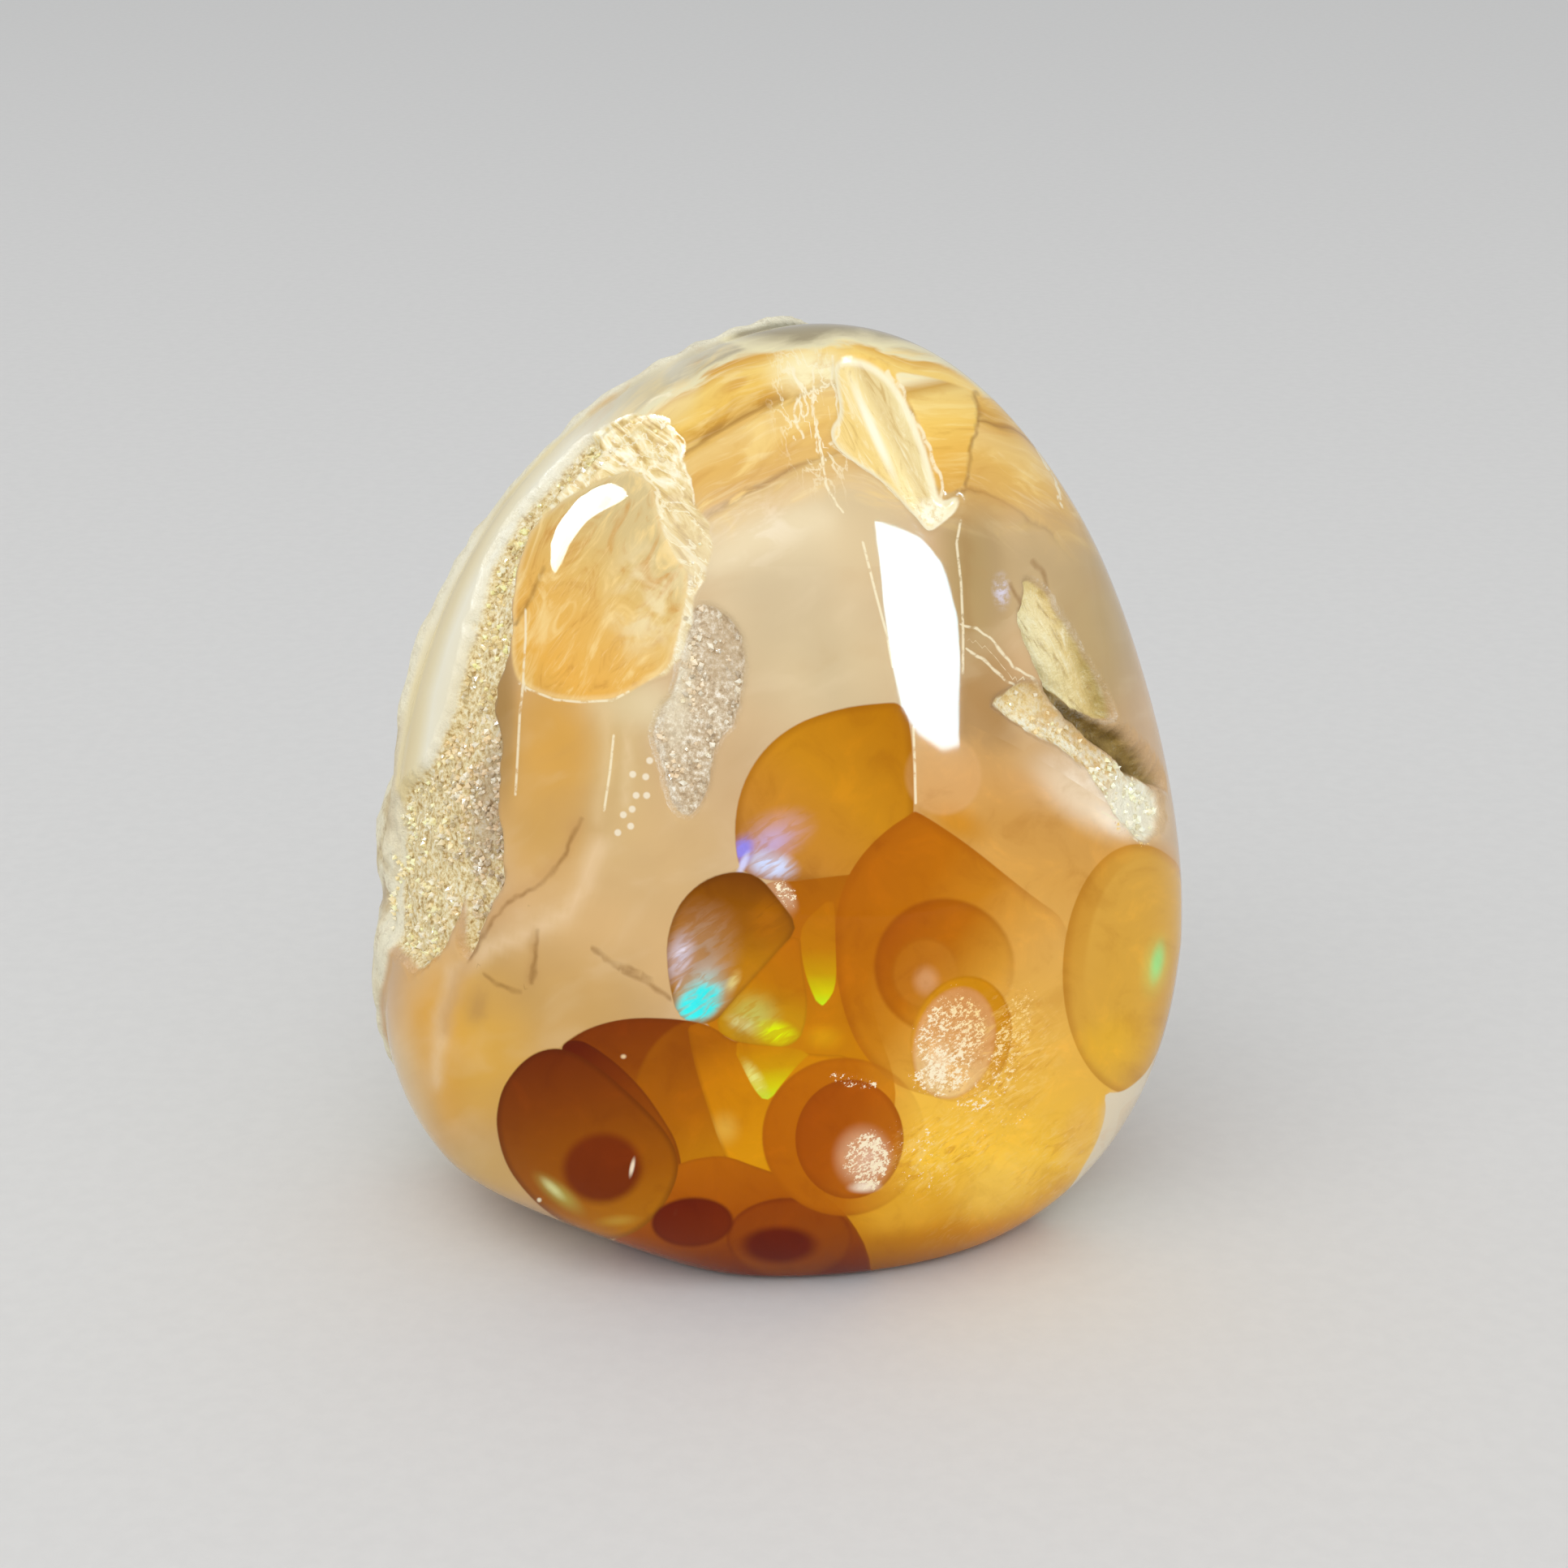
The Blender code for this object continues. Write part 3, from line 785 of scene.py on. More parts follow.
def distance_into_rind(points):
    """How far behind the rind's front edge each point is, negative on the polished side."""
    side = smooth_step(0.5 + points[:, 0] / (2.0 * RIND_TURN))
    edge = RIND_START_LEFT + (RIND_START_RIGHT - RIND_START_LEFT) * side
    rise = (points[:, 2] - RIND_CREEP_HEIGHT) / RIND_CREEP_REACH
    edge = edge - RIND_CREEP * (1.0 - side) * np.exp(-rise * rise)
    return points[:, 1] - edge + RIND_WOBBLE * smooth_noise(points, RIND_WOBBLE_LENGTH)


def camera_axes():
    """The camera's place in the egg's coordinates, and its forward, right and up directions."""
    cosine, sine = math.cos(CAMERA_ELEVATION), math.sin(CAMERA_ELEVATION)
    forward = np.array([0.0, cosine, -sine])
    place = CAMERA_TARGET - CAMERA_DISTANCE * forward
    return place, forward, np.array([1.0, 0.0, 0.0]), np.array([0.0, sine, cosine])


def place_on_photo(directions):
    """The chart: where each point of the ground egg lies on the photograph, in pixels."""
    camera, forward, right, up = camera_axes()
    skin = egg(directions)
    ray = grind_flats(skin) - camera
    depth = ray @ forward
    focal = PHOTO_SIDE / 2.0 / math.tan(FIELD_OF_VIEW / 2.0)
    x = PHOTO_SIDE / 2.0 + focal * (ray @ right) / depth
    y = PHOTO_SIDE / 2.0 - focal * (ray @ up) / depth
    out = outward(skin)
    turn = np.arccos(np.clip(np.sum(out * -unit(ray), axis=1), -1.0, 1.0))
    across = unit(np.stack([out @ right, -(out @ up)], axis=1), 1e-6)
    past = np.maximum(turn - ROLL_START, 0.0)
    share = np.minimum(past / ROLL_EASE, 1.0)
    eased = ROLL_EASE * (share**3 - share**4 / 2.0) + np.maximum(past - ROLL_EASE, 0.0)
    slope = math.cos(ROLL_START)
    rolled = math.sin(ROLL_START) + slope * past + (1.0 - slope) * eased
    extra = np.where(past > 0.0, ROLL_RADIUS * (rolled - np.sin(turn)), 0.0)
    return np.stack([x, y], axis=1) + extra[:, None] * across


def roughened(chart, skin):
    """The chart with natural edges wandering a little, for outlines that nothing has cut."""
    return chart + np.stack([layered_noise(skin, layers) for layers in TORN_WANDER], axis=1)


def nearest_on(places, start, end):
    """The way from each place to the nearest point of a straight run, and its length."""
    run = end - start
    share = np.clip((places - start) @ run / (run @ run), 0.0, 1.0)
    way = start + share[:, None] * run - places
    return way, np.linalg.norm(way, axis=1)


def runs(line):
    """The straight runs of an open line."""
    points = np.array(line, float)
    return zip(points, points[1:])


def offset_to_lines(chart, lines):
    """The way to the nearest line, and how near it is, 1 on it and 0 at LINE_REACH."""
    best = np.full(len(chart), FAR)
    way = np.full((len(chart), 2), FAR)
    for line in lines:
        for start, end in runs(line):
            gap, size = nearest_on(chart, start, end)
            closer = size < best
            best[closer] = size[closer]
            way[closer] = gap[closer]
    near = np.clip(1.0 - best / LINE_REACH, 0.0, 1.0)
    return np.concatenate([way, near[:, None]], axis=1)


def distance_to_line(chart, line):
    """Pixels to an open line, without a side."""
    return np.min([nearest_on(chart, start, end)[1] for start, end in runs(line)], axis=0)


def rounded_outline(points):
    """A closed outline with each corner cut off twice."""
    points = np.array(points, float)
    for _ in range(2):
        following = np.roll(points, -1, axis=0)
        quarter = points * 0.75 + following * 0.25
        three_quarters = points * 0.25 + following * 0.75
        points = np.stack([quarter, three_quarters], axis=1).reshape(-1, 2)
    return points


def distance_to_polygon(chart, points):
    outline = rounded_outline(points)
    low, high = outline.min(axis=0) - FAR, outline.max(axis=0) + FAR
    near = np.all((chart > low) & (chart < high), axis=1)
    places = chart[near]
    x, y = places.T
    nearest = np.full(len(places), FAR)
    inside = np.zeros(len(places), bool)
    for start, end in zip(outline, np.roll(outline, -1, axis=0)):
        nearest = np.minimum(nearest, nearest_on(places, start, end)[1])
        crosses = (start[1] > y) != (end[1] > y)
        across, down = end - start
        inside ^= crosses & (x < start[0] + across * (y - start[1]) / (down or 1.0))
    distance = np.full(len(chart), FAR)
    distance[near] = np.where(inside, -nearest, nearest)
    return distance


def distance_to_oval(chart, oval):
    cosine, sine = math.cos(math.radians(oval.tilt)), math.sin(math.radians(oval.tilt))
    offset = chart - np.array(oval.centre)
    size = np.linalg.norm(offset, axis=1)
    turned = offset @ np.array([[cosine, -sine], [sine, cosine]])
    share = np.linalg.norm(turned / np.array(oval.radii), axis=1)
    return np.clip(size - size / np.maximum(share, 1e-6), -FAR, FAR)


def distance_to_outline(chart, outline):
    """Pixels outside a closed outline, negative inside it."""
    if isinstance(outline, Oval):
        return distance_to_oval(chart, outline)
    return distance_to_polygon(chart, outline)


def blend_tones(chart, tones, ground):
    """A smooth mixture of named colours, each strongest at its own place."""
    weights = np.full(len(chart), GROUND_SHARE)
    total = weights[:, None] * light(ground)
    for x, y, across, down, *rgb in tones:
        weight = bell(np.linalg.norm((chart - (x, y)) / (across, down), axis=1))
        total += weight[:, None] * light(rgb)
        weights += weight
    return total / weights[:, None]


def body_tone_and_shade(skin):
    """The body's soft colours, painted shade among them, with its clouds and its broad soft lines.
    """
    tone = blend_tones(skin.chart, BODY_TONES_AND_SHADE, BODY_COLOUR)
    tone = tone * (1.0 + CLOUD_STRENGTH * layered_noise(skin.egg, BODY_CLOUDS)[:, None])
    for line, reach, colour, strength in SOFT_LINES:
        share = strength * bell(distance_to_line(skin.rough_chart, line) / reach)[:, None]
        tone = tone + share * (light(colour) - tone)
    return tone


class Skin:
    """Everything worked out at the stone's vertices: their places and what is drawn there."""

    def __init__(self, directions):
        self.egg = egg(directions)
        self.chart = place_on_photo(directions)
        self.rough_chart = roughened(self.chart, self.egg)
        masks = {}
        for name, outline in OUTLINES.items():
            chart = self.rough_chart if name in TORN_OUTLINES else self.chart
            masks[name] = distance_to_outline(chart, outline)
        sheets = [layer for layer in FIRE if isinstance(layer, Sheet)]
        for sheet in sheets:
            masks["fire_" + sheet.name] = distance_to_outline(self.chart, sheet.outline)
        fire = np.min([masks["fire_" + sheet.name] - sheet.edge for sheet in sheets], axis=0)
        masks["fire"] = np.max([fire, 3.0 - masks["floor"], 3.0 - masks["groove"]], axis=0)
        self.left_outline = distance_to_line(self.chart, LEFT_OUTLINE)
        busy = [masks[name] for name in BUSY_PLACES]
        busy += [self.chart[:, 1] - CROWN_END, self.left_outline - LEFT_STRIP_WIDTH]
        busy += [distance_to_outline(self.chart, oval) for oval in (HAZE, LAVENDER_GLINT)]
        masks["busy"] = np.min(busy, axis=0) - BUSY_MARGIN
        self.masks = masks
        self.rind = distance_into_rind(self.egg)
        self.knobs = knobs(self.egg, KNOB_SIZE)

    def rise(self):
        """How far each point stands above the ground egg."""
        masks = self.masks
        rise = RIPPLE_RISE * smooth_noise(self.egg, RIPPLE_SIZE)
        for name, (depth, bank) in HOLLOWS.items():
            rise = rise - depth * smooth_step(0.5 - masks[name] / bank)
        slope = np.clip(1.0 - masks["groove"] / SHELF_SLOPE_LENGTH, SHELF_LEAST_SHARE, 1.0)
        rise = rise - SHELF_DEPTH * slope * smooth_step(0.5 - masks["shelf"] / SHELF_BANK)
        crust = smooth_step(0.5 - masks["crust"] / CRUST_BANK)
        crust = crust * smooth_step(0.5 + masks["window"] / CRUST_BANK)
        lumps = layered_noise(self.egg, LUMPS)
        rise = rise - crust * (CRUST_DEPTH - LUMP_RISE * lumps)
        druse = sum(share * smooth_step(-masks[name] / bank) for name, bank, share in LUMPY_DRUSES)
        rise = rise + LUMP_RISE * druse * lumps
        dome = np.clip(-masks["window"] / WINDOW_REACH, 0.0, 1.0)
        rise = rise + WINDOW_RISE * (1.0 - (1.0 - dome) ** 2)
        bumps = RIND_PROUD + KNOB_RISE * (self.knobs - 0.5) * smooth_step(self.rind / KNOB_BANK)
        bumps = bumps + SWELL_RISE * smooth_noise(self.egg, SWELL_SIZE)
        bumps = bumps + CRUMB_RISE * smooth_noise(self.egg, CRUMB_SIZE)
        return rise + smooth_step(0.5 + self.rind / RIND_BANK) * bumps


def needs_detail(directions):
    """True where a small face crosses or lies in something finer than the body."""
    chart = place_on_photo(directions)
    sharp = np.zeros(len(chart), bool)
    for name in TORN_OUTLINES + ("wedge",):
        sharp |= distance_to_outline(chart, OUTLINES[name]) < DETAIL_REACH
    for name in ("window", "cap", "segment"):
        sharp |= np.abs(distance_to_outline(chart, OUTLINES[name])) < DETAIL_REACH
    for lines in (DARK_LINES, PALE_LINES, CRACK_LINES):
        sharp |= offset_to_lines(chart, lines)[:, 2] > 0.1
    return sharp


def cut_finer(mesh):
    """Cut each triangle that needs it in four, and close up the neighbours."""
    mesh.faces.index_update()
    middles = np.array([f.calc_center_median().normalized() for f in mesh.faces])
    sharp = needs_detail(middles)
    edges = [e for e in mesh.edges if any(sharp[f.index] for f in e.link_faces)]
    bmesh.ops.subdivide_edges(mesh, edges=edges, cuts=1, use_grid_fill=True)
    bmesh.ops.triangulate(mesh, faces=mesh.faces)


def store(data, name, values):
    """Keep one number or one triple for each vertex in the mesh, under that name."""
    kind, field = ("FLOAT", "value") if values.ndim == 1 else ("FLOAT_VECTOR", "vector")
    attribute = data.attributes.new(name, kind, "POINT")
    attribute.data.foreach_set(field, np.ascontiguousarray(values, np.float32).ravel())


def store_skin(data, skin):
    across, down = (skin.chart - np.array(BAND_CENTRE)).T
    swing = smooth_step((skin.chart[:, 0] - BAND_SWING_START) / BAND_SWING_WIDTH)
    band = np.hypot(across, down) + BAND_SWING * swing + layered_noise(skin.egg, BAND_WANDER)
    crown = np.stack([BAND_ROUND * np.arctan2(across, -down), band], axis=1)
    corners = np.empty(len(data.loops), int)
    data.loops.foreach_get("vertex_index", corners)
    for name, place in (("chart", skin.chart), ("crown", crown)):
        data.uv_layers.new(name=name).data.foreach_set("uv", place[corners].ravel())
    kept = {
        "tone": body_tone_and_shade(skin),
        "band": band,
        "left_outline": skin.left_outline,
        "rind": skin.rind / MM,
        "knob": skin.knobs,
        "dark_line": offset_to_lines(skin.rough_chart, DARK_LINES),
        "pale_line": offset_to_lines(skin.chart, PALE_LINES),
        "crack_line": offset_to_lines(skin.rough_chart, CRACK_LINES),
    }
    for name, values in {**kept, **skin.masks}.items():
        store(data, name, values)


def add_object(name, data):
    holder = bpy.data.objects.new(name, data)
    bpy.context.scene.collection.objects.link(holder)
    return holder


def build_stone():
    """The dressed stone, its skin, and the shift that brings the egg into the frame."""
    mesh = bmesh.new()
    bmesh.ops.create_icosphere(mesh, subdivisions=SPHERE_STEPS, radius=1.0)
    cut_finer(mesh)
    skin = Skin(unit(np.array([v.co for v in mesh.verts])))
    points = grind_flats(skin.egg) + skin.rise()[:, None] * outward(skin.egg)
    points[:, 2] = rounded_excess(points[:, 2], FOOT_ROUNDING)
    shift = -(points.min(axis=0) + points.max(axis=0)) / 2.0 * (1.0, 1.0, 0.0)
    held = np.clip(points + shift, cad_box[0], cad_box[1])
    for vertex, place in zip(mesh.verts, held):
        vertex.co = place
    bmesh.ops.recalc_face_normals(mesh, faces=mesh.faces)
    data = bpy.data.meshes.new("fire_agate_stone")
    mesh.to_mesh(data)
    mesh.free()
    data.shade_smooth()
    store_skin(data, skin)
    return add_object("fire_agate_stone", data), skin, shift


class Graph:
    """Short ways to add nodes to a new material and join them. Angles are in degrees."""

    def __init__(self, name):
        self.material = bpy.data.materials.new(name)
        self.material.use_nodes = True
        self.tree = self.material.node_tree
        self.tree.nodes.clear()

    def node(self, kind, sockets=(), **settings):
        """Add a node and fill its sockets, given in order, or in a dict by name or number."""
        node = self.tree.nodes.new("ShaderNode" + kind)
        for key, value in settings.items():
            setattr(node, key, value)
        pairs = sockets.items() if isinstance(sockets, dict) else enumerate(sockets)
        for key, value in pairs:
            if isinstance(value, bpy.types.NodeSocket):
                self.tree.links.new(value, node.inputs[key])
            else:
                node.inputs[key].default_value = value
        return node

    def finished(self, surface):
        """The material, once its surface is made."""
        self.node("OutputMaterial", (surface,))
        return self.material

    def find_place(self):
        """Make self.place the place on the object, in metres."""
        self.place = self.node("TexCoord").outputs["Object"]

    def map(self, name):
        return self.node("UVMap", uv_map=name).outputs["UV"]

    def number(self, name):
        return self.node("Attribute", attribute_name=name).outputs["Fac"]

    def tint(self, name):
        return self.node("Attribute", attribute_name=name).outputs["Color"]

    def math(self, operation, a, b=0.0, c=0.0):
        return self.node("Math", (a, b, c), operation=operation).outputs[0]

    def multiply(self, *values):
        total = values[0]
        for value in values[1:]:
            total = self.math("MULTIPLY", total, value)
        return total

    def greatest(self, values):
        total = 0.0
        for value in values:
            total = self.math("MAXIMUM", total, value)
        return total

    def step(self, value, start, end, low=0.0, high=1.0):
        """low before start and high after end, joined by an eased slope."""
        sockets = (value, start, end, low, high)
        node = self.node("MapRange", sockets, interpolation_type="SMOOTHSTEP", clamp=False)
        return node.outputs["Result"]

    def inside(self, name, edge):
        """1 inside the outline stored under that name, 0 outside it."""
        return self.step(self.number(name), edge, -edge)

    def mix(self, factor, a, b, blend="MIX"):
        sockets = {0: factor, 6: a, 7: b}
        return self.node("Mix", sockets, data_type="RGBA", blend_type=blend).outputs[2]

    def lay(self, colour, rgb, *covers):
        """colour with a screen colour over it, as far as all the covers reach."""
        return self.mix(self.multiply(*covers), colour, screen_colour(rgb))

    def streaked(self, colour, wave, pale, dark, strength=0.6):
        """colour, drawn to pale where the wave is high and to dark where it is low."""
        colour = self.lay(colour, pale, self.step(wave, 0.5, 0.7, 0.0, strength))
        return self.lay(colour, dark, self.step(wave, 0.49, 0.3, 0.0, strength))

    def noise(self, vector, scale, detail=2.0, roughness=0.5, distortion=0.0):
        sockets = {"Vector": vector, "Scale": scale, "Detail": detail}
        sockets.update({"Roughness": roughness, "Distortion": distortion})
        return self.node("TexNoise", sockets).outputs["Fac"]

    def mottle(self, scale, start, end, low=0.0, high=1.0, detail=3.0):
        """A step over a fine noise on the chart."""
        return self.step(self.noise(self.chart, scale, detail, 0.6), start, end, low, high)

    def grain(self, angle, size, detail, roughness=0.5, distortion=0.0, vector=None):
        """A noise drawn out at that angle, with patches of about that size."""
        vector = self.placed(vector or self.chart, (0, 0), angle, size)
        return self.noise(vector, 1.0, detail, roughness, distortion)

    def veins(self, angle, size):
        """1 on thin wandering lines, the level curves of a noise."""
        wave = self.math("SUBTRACT", self.grain(angle, size, 4.0, 0.6, 0.5), 0.5)
        return self.step(self.math("ABSOLUTE", wave), 0.03, 0.0)

    def placed(self, vector, centre, angle, size):
        """vector seen from centre, turned by that angle and measured in units of size."""
        turn = (0.0, 0.0, math.radians(angle))
        sockets = (vector, (*centre, 0.0), turn, (*size, 1.0))
        return self.node("Mapping", sockets, vector_type="TEXTURE").outputs["Vector"]

    def gradient(self, kind, centre, angle, size):
        vector = self.placed(self.chart, centre, angle, size)
        return self.node("TexGradient", (vector,), gradient_type=kind).outputs["Fac"]

    def oval(self, centre, radii, tilt=0.0, core=0.2):
        """1 in the core of an oval, falling softly to 0 at its edge."""
        return self.step(self.gradient("SPHERICAL", centre, tilt, radii), 0.0, 1.0 - core)

    def along(self, start, end):
        """0 up to start, 1 from end on, and an even slope between them."""
        run = (end[0] - start[0], end[1] - start[1])
        size = math.hypot(run[0], run[1])
        angle = math.degrees(math.atan2(run[1], run[0]))
        return self.gradient("LINEAR", start, angle, (size, size))

    def ramp(self, value, *stops, start=0.0, size=1.0):
        """Colours and cover along value. Each stop is its place, its screen colour and its
        cover, all of it where none is given. Places are measured from start, in units of size.
        """
        node = self.node("ValToRGB", (value,))
        elements = node.color_ramp.elements
        while len(elements) > 1:
            elements.remove(elements[0])
        for number, (at, red, green, blue, *cover) in enumerate(stops):
            at = (at - start) / size
            element = elements[0] if number == 0 else elements.new(at)
            element.position = at
            element.color = screen_colour((red, green, blue), *cover)
        return node.outputs["Color"], node.outputs["Alpha"]

    def shade(self, value, *stops):
        return self.ramp(value, *stops)[0]

    def grit(self, strength, scale=3400.0):
        """The bumps of a rough place, as a normal."""
        height = self.noise(self.place, scale, 4.0, 0.7)
        sockets = {"Strength": strength, "Distance": GRIT_HEIGHT, "Height": height}
        return self.node("Bump", sockets).outputs[0]

    def surface(self, colour, roughness, ior=POLISH_IOR, **more):
        sockets = {"Base Color": colour, "Roughness": roughness, "IOR": ior, **more}
        return self.node("BsdfPrincipled", sockets).outputs[0]

    def either(self, share, first, second):
        """The first surface where share is 0, the second where it is 1."""
        return self.node("MixShader", (share, first, second)).outputs[0]

    def on_lines(self, name, outer, inner):
        """1 on those lines, falling to 0 between the inner and the outer half width."""
        x, y, near = self.node("SeparateColor", (self.tint(name),)).outputs
        square = self.math("ADD", self.multiply(x, x), self.multiply(y, y))
        on_line = self.step(self.math("SQRT", square), outer, inner)
        return self.multiply(on_line, self.step(near, 0.05, 0.3))


def paint_fire(graph):
    """The sheets of the fire and their glows, each laid over what is under it, most sheets with
    painted shade at their rims and upper edges.
    """
    colour = graph.tint("tone")
    cover = {}
    wrinkles = graph.step(graph.grain(-32, (34, 9), 2.0, 0.5, 0.7), 0.4, 0.56, 0.5, 1.0)
    for layer in FIRE:
        if isinstance(layer, Glow):
            covers = [graph.oval(layer.centre, layer.radii, layer.tilt, layer.core), layer.strength]
            if layer.inside in WRINKLED_SHEETS:
                covers.append(wrinkles)
            if layer.inside:
                covers.append(cover[layer.inside])
            colour = graph.lay(colour, layer.colour, *covers)
            continue
        distance = graph.number("fire_" + layer.name)
        mask = graph.step(distance, layer.edge, -layer.edge)
        inner, alpha = graph.ramp(graph.along(layer.start, layer.end), *layer.stops)
        # The rim: in most sheets painted shade, darker along the edge inside the sheet.
        if layer.rim_strength:
            rim = graph.step(distance, -layer.rim_width, 0.0, 0.0, layer.rim_strength)
            inner = graph.lay(inner, layer.rim_colour, rim)
        cover[layer.name] = mask
        colour = graph.mix(graph.multiply(mask, alpha), colour, inner)
    mottle = graph.noise(graph.chart, 0.018, 5.0, 0.6, 0.6)
    lighter = graph.step(mottle, 0.5, 0.75, 0.0, 0.5)
    colour = graph.mix(lighter, colour, (1.24, 1.2, 1.1, 1.0), "MULTIPLY")
    darker = graph.step(mottle, 0.5, 0.25, 0.0, 0.6)
    return graph.mix(darker, colour, (0.82, 0.74, 0.6, 1.0), "MULTIPLY")


def paint_marks(graph, colour):
    """Scratches, pale grains with painted glints, and thin pale lines on the fire."""
    rubbed = graph.greatest(
        graph.multiply(graph.oval(centre, radii, tilt, 0.2), strength)
        for centre, radii, tilt, strength in SCRATCHES
    )
    broad = graph.grain(SCRATCH_ANGLE, (38, 12), 4.0, 0.6, 1.2)
    colour = graph.lay(colour, (254, 214, 122), rubbed, graph.step(broad, 0.5, 0.7, 0.0, 0.7))
    colour = graph.lay(colour, (204, 126, 22), rubbed, graph.step(broad, 0.48, 0.3, 0.0, 0.6))
    fine = graph.grain(SCRATCH_ANGLE, (15, 3.2), 2.0, 0.6, 0.5)
    colour = graph.lay(colour, (252, 220, 150), rubbed, graph.step(fine, 0.55, 0.7, 0.0, 0.5))

    dense = graph.greatest(
        graph.multiply(graph.oval(centre, radii, tilt, 0.6), density)
        for centre, radii, tilt, density in SPARKLES
    )
    grains_and_glints = graph.grain(-35, (7.4, 5.0), 3.0, 0.8)
    patches = graph.noise(graph.chart, 0.045, 3.0, 0.6)
    level = graph.math("MULTIPLY_ADD", patches, 0.45, graph.math("MULTIPLY", dense, 0.2))
    level = graph.math("SUBTRACT", 0.93, level)
    shown = graph.step(dense, 0.0, 0.1)
    dark = graph.step(grains_and_glints, 0.46, 0.34, 0.0, 0.5)
    colour = graph.lay(colour, (196, 130, 66), shown, dark, dense)
    # The white flakes: pale grains with painted glints of reflected light on them.
    above = graph.step(graph.math("SUBTRACT", grains_and_glints, level), 0.0, 0.05, 0.0, 0.95)
    colour = graph.lay(colour, (255, 240, 206), shown, above)
    golden = graph.along((1180, 1310), (1240, 1262))
    colour = graph.lay(colour, (252, 214, 128), shown, above, golden)
    return paint_pale_lines(graph, colour)


def paint_pale_lines(graph, colour):
    broken = graph.mottle(0.09, 0.32, 0.52, 0.1, 0.75)
    pale = graph.on_lines("pale_line", 2.4, 0.6)
    pale = graph.math("MAXIMUM", pale, graph.on_lines("crack_line", 2.5, 0.6))
    return graph.lay(colour, (252, 240, 204), pale, broken)


def paint_crown(graph, colour):
    """The gold bands of the crown, its smoky cap, and the clear strip down the left."""
    crown = graph.map("crown")
    clouds = graph.grain(-25, (70, 30), 4.0, 0.6, 1.0)
    cloud = graph.oval((920, 640), (110, 80), -25, 0.1)
    cloud = graph.multiply(cloud, graph.step(clouds, 0.42, 0.66))
    colour = graph.lay(colour, (246, 230, 202), cloud, 0.75)

    soft = graph.grain(3, (120, 42), 4.0, 0.55, 1.2, crown)
    fine = graph.grain(-4, (90, 9), 3.0, 0.5, 1.0, crown)
    low, high = BAND_RANGE
    drift = graph.math("MULTIPLY_ADD", soft, 36.0, -low - 18.0)
    band = graph.math("ADD", graph.number("band"), drift)
    band = graph.math("DIVIDE", band, high - low)
    bands, cover = graph.ramp(band, *CROWN_BANDS, start=low, size=high - low)
    bands = graph.streaked(bands, soft, (252, 220, 140), (212, 150, 54))
    bands = graph.lay(bands, (255, 238, 188), graph.step(fine, 0.52, 0.7, 0.0, 0.25))
    high_up = graph.along((1000, 700), (1000, 590))
    ragged = graph.math("ADD", high_up, graph.math("MULTIPLY_ADD", soft, 0.8, -0.4))
    colour = graph.mix(graph.multiply(cover, graph.step(ragged, 0.0, 1.0)), colour, bands)

    veined = graph.oval((1002, 510), (62, 130), -16, 0.3)
    vein = graph.veins(-20, (30, 74))
    colour = graph.lay(colour, (242, 206, 124), veined, 0.3)
    creamy = graph.oval((1000, 458), (74, 40))
    colour = graph.lay(colour, (254, 244, 196), creamy, graph.step(clouds, 0.3, 0.55, 0.4, 0.9))
    colour = graph.lay(colour, (255, 246, 212), veined, vein, 0.75)

    cap = graph.math("ADD", graph.number("cap"), graph.math("MULTIPLY_ADD", soft, 30.0, -15.0))
    smoke = graph.shade(
        graph.math("DIVIDE", cap, -FAR), (0.0, 240, 230, 186), (0.14, 222, 210, 170),
        (0.3, 166, 153, 120), (1.0, 158, 151, 124),
    )
    colour = graph.mix(graph.step(cap, 4.0, -4.0), colour, smoke)

    outline = graph.math("DIVIDE", graph.number("left_outline"), LEFT_STRIP_WIDTH)
    strip, cover = graph.ramp(outline, *LEFT_STRIP, size=LEFT_STRIP_WIDTH)
    lower = graph.step(graph.along((760, 470), (690, 560)), 0.0, 1.0, 0.25, 1.0)
    return graph.mix(graph.multiply(cover, lower), colour, strip)


def paint_window(graph, colour):
    """The clear lens at the upper left, with fibres of gold in it, and the crust round it."""
    crust = graph.shade(
        graph.grain(46, (58, 19), 5.0, 0.58, 1.6), (0.30, 190, 150, 78), (0.42, 222, 190, 116),
        (0.50, 238, 214, 150), (0.58, 248, 234, 190), (0.70, 254, 248, 224),
    )
    crust = graph.lay(crust, (236, 218, 180), graph.along((790, 560), (860, 680)), 0.55)
    crust = graph.lay(crust, (252, 244, 212), graph.veins(30, (50, 26)), 0.7)
    colour = graph.mix(graph.inside("crust", 3.0), colour, crust)

    fibres = graph.grain(118, (90, 36), 4.0, 0.55, 1.8)
    fine = graph.grain(125, (50, 5), 3.0, 0.6, 1.2)
    gold = graph.shade(
        graph.along((640, 860), (850, 640)), (0.0, 222, 172, 84), (0.2, 238, 180, 82),
        (0.42, 232, 182, 94), (0.6, 226, 188, 112), (0.78, 216, 190, 132), (1.0, 216, 194, 142),
    )
    gold = graph.streaked(gold, fibres, (250, 218, 148), (206, 144, 62), 0.7)
    gold = graph.lay(gold, (252, 226, 166), graph.step(fine, 0.54, 0.7, 0.0, 0.25))
    cloudy = graph.oval((800, 735), (64, 110), 10)
    mottle = graph.step(graph.noise(graph.chart, 0.03, 3.0, 0.5, 0.4), 0.38, 0.66)
    gold = graph.lay(gold, (242, 224, 176), cloudy, mottle, 0.8)
    low_rim = graph.step(graph.number("window"), -9.0, -2.0, 0.0, 0.4)
    gold = graph.lay(gold, (250, 224, 166), low_rim)
    return graph.mix(graph.inside("window", 2.6), colour, gold)


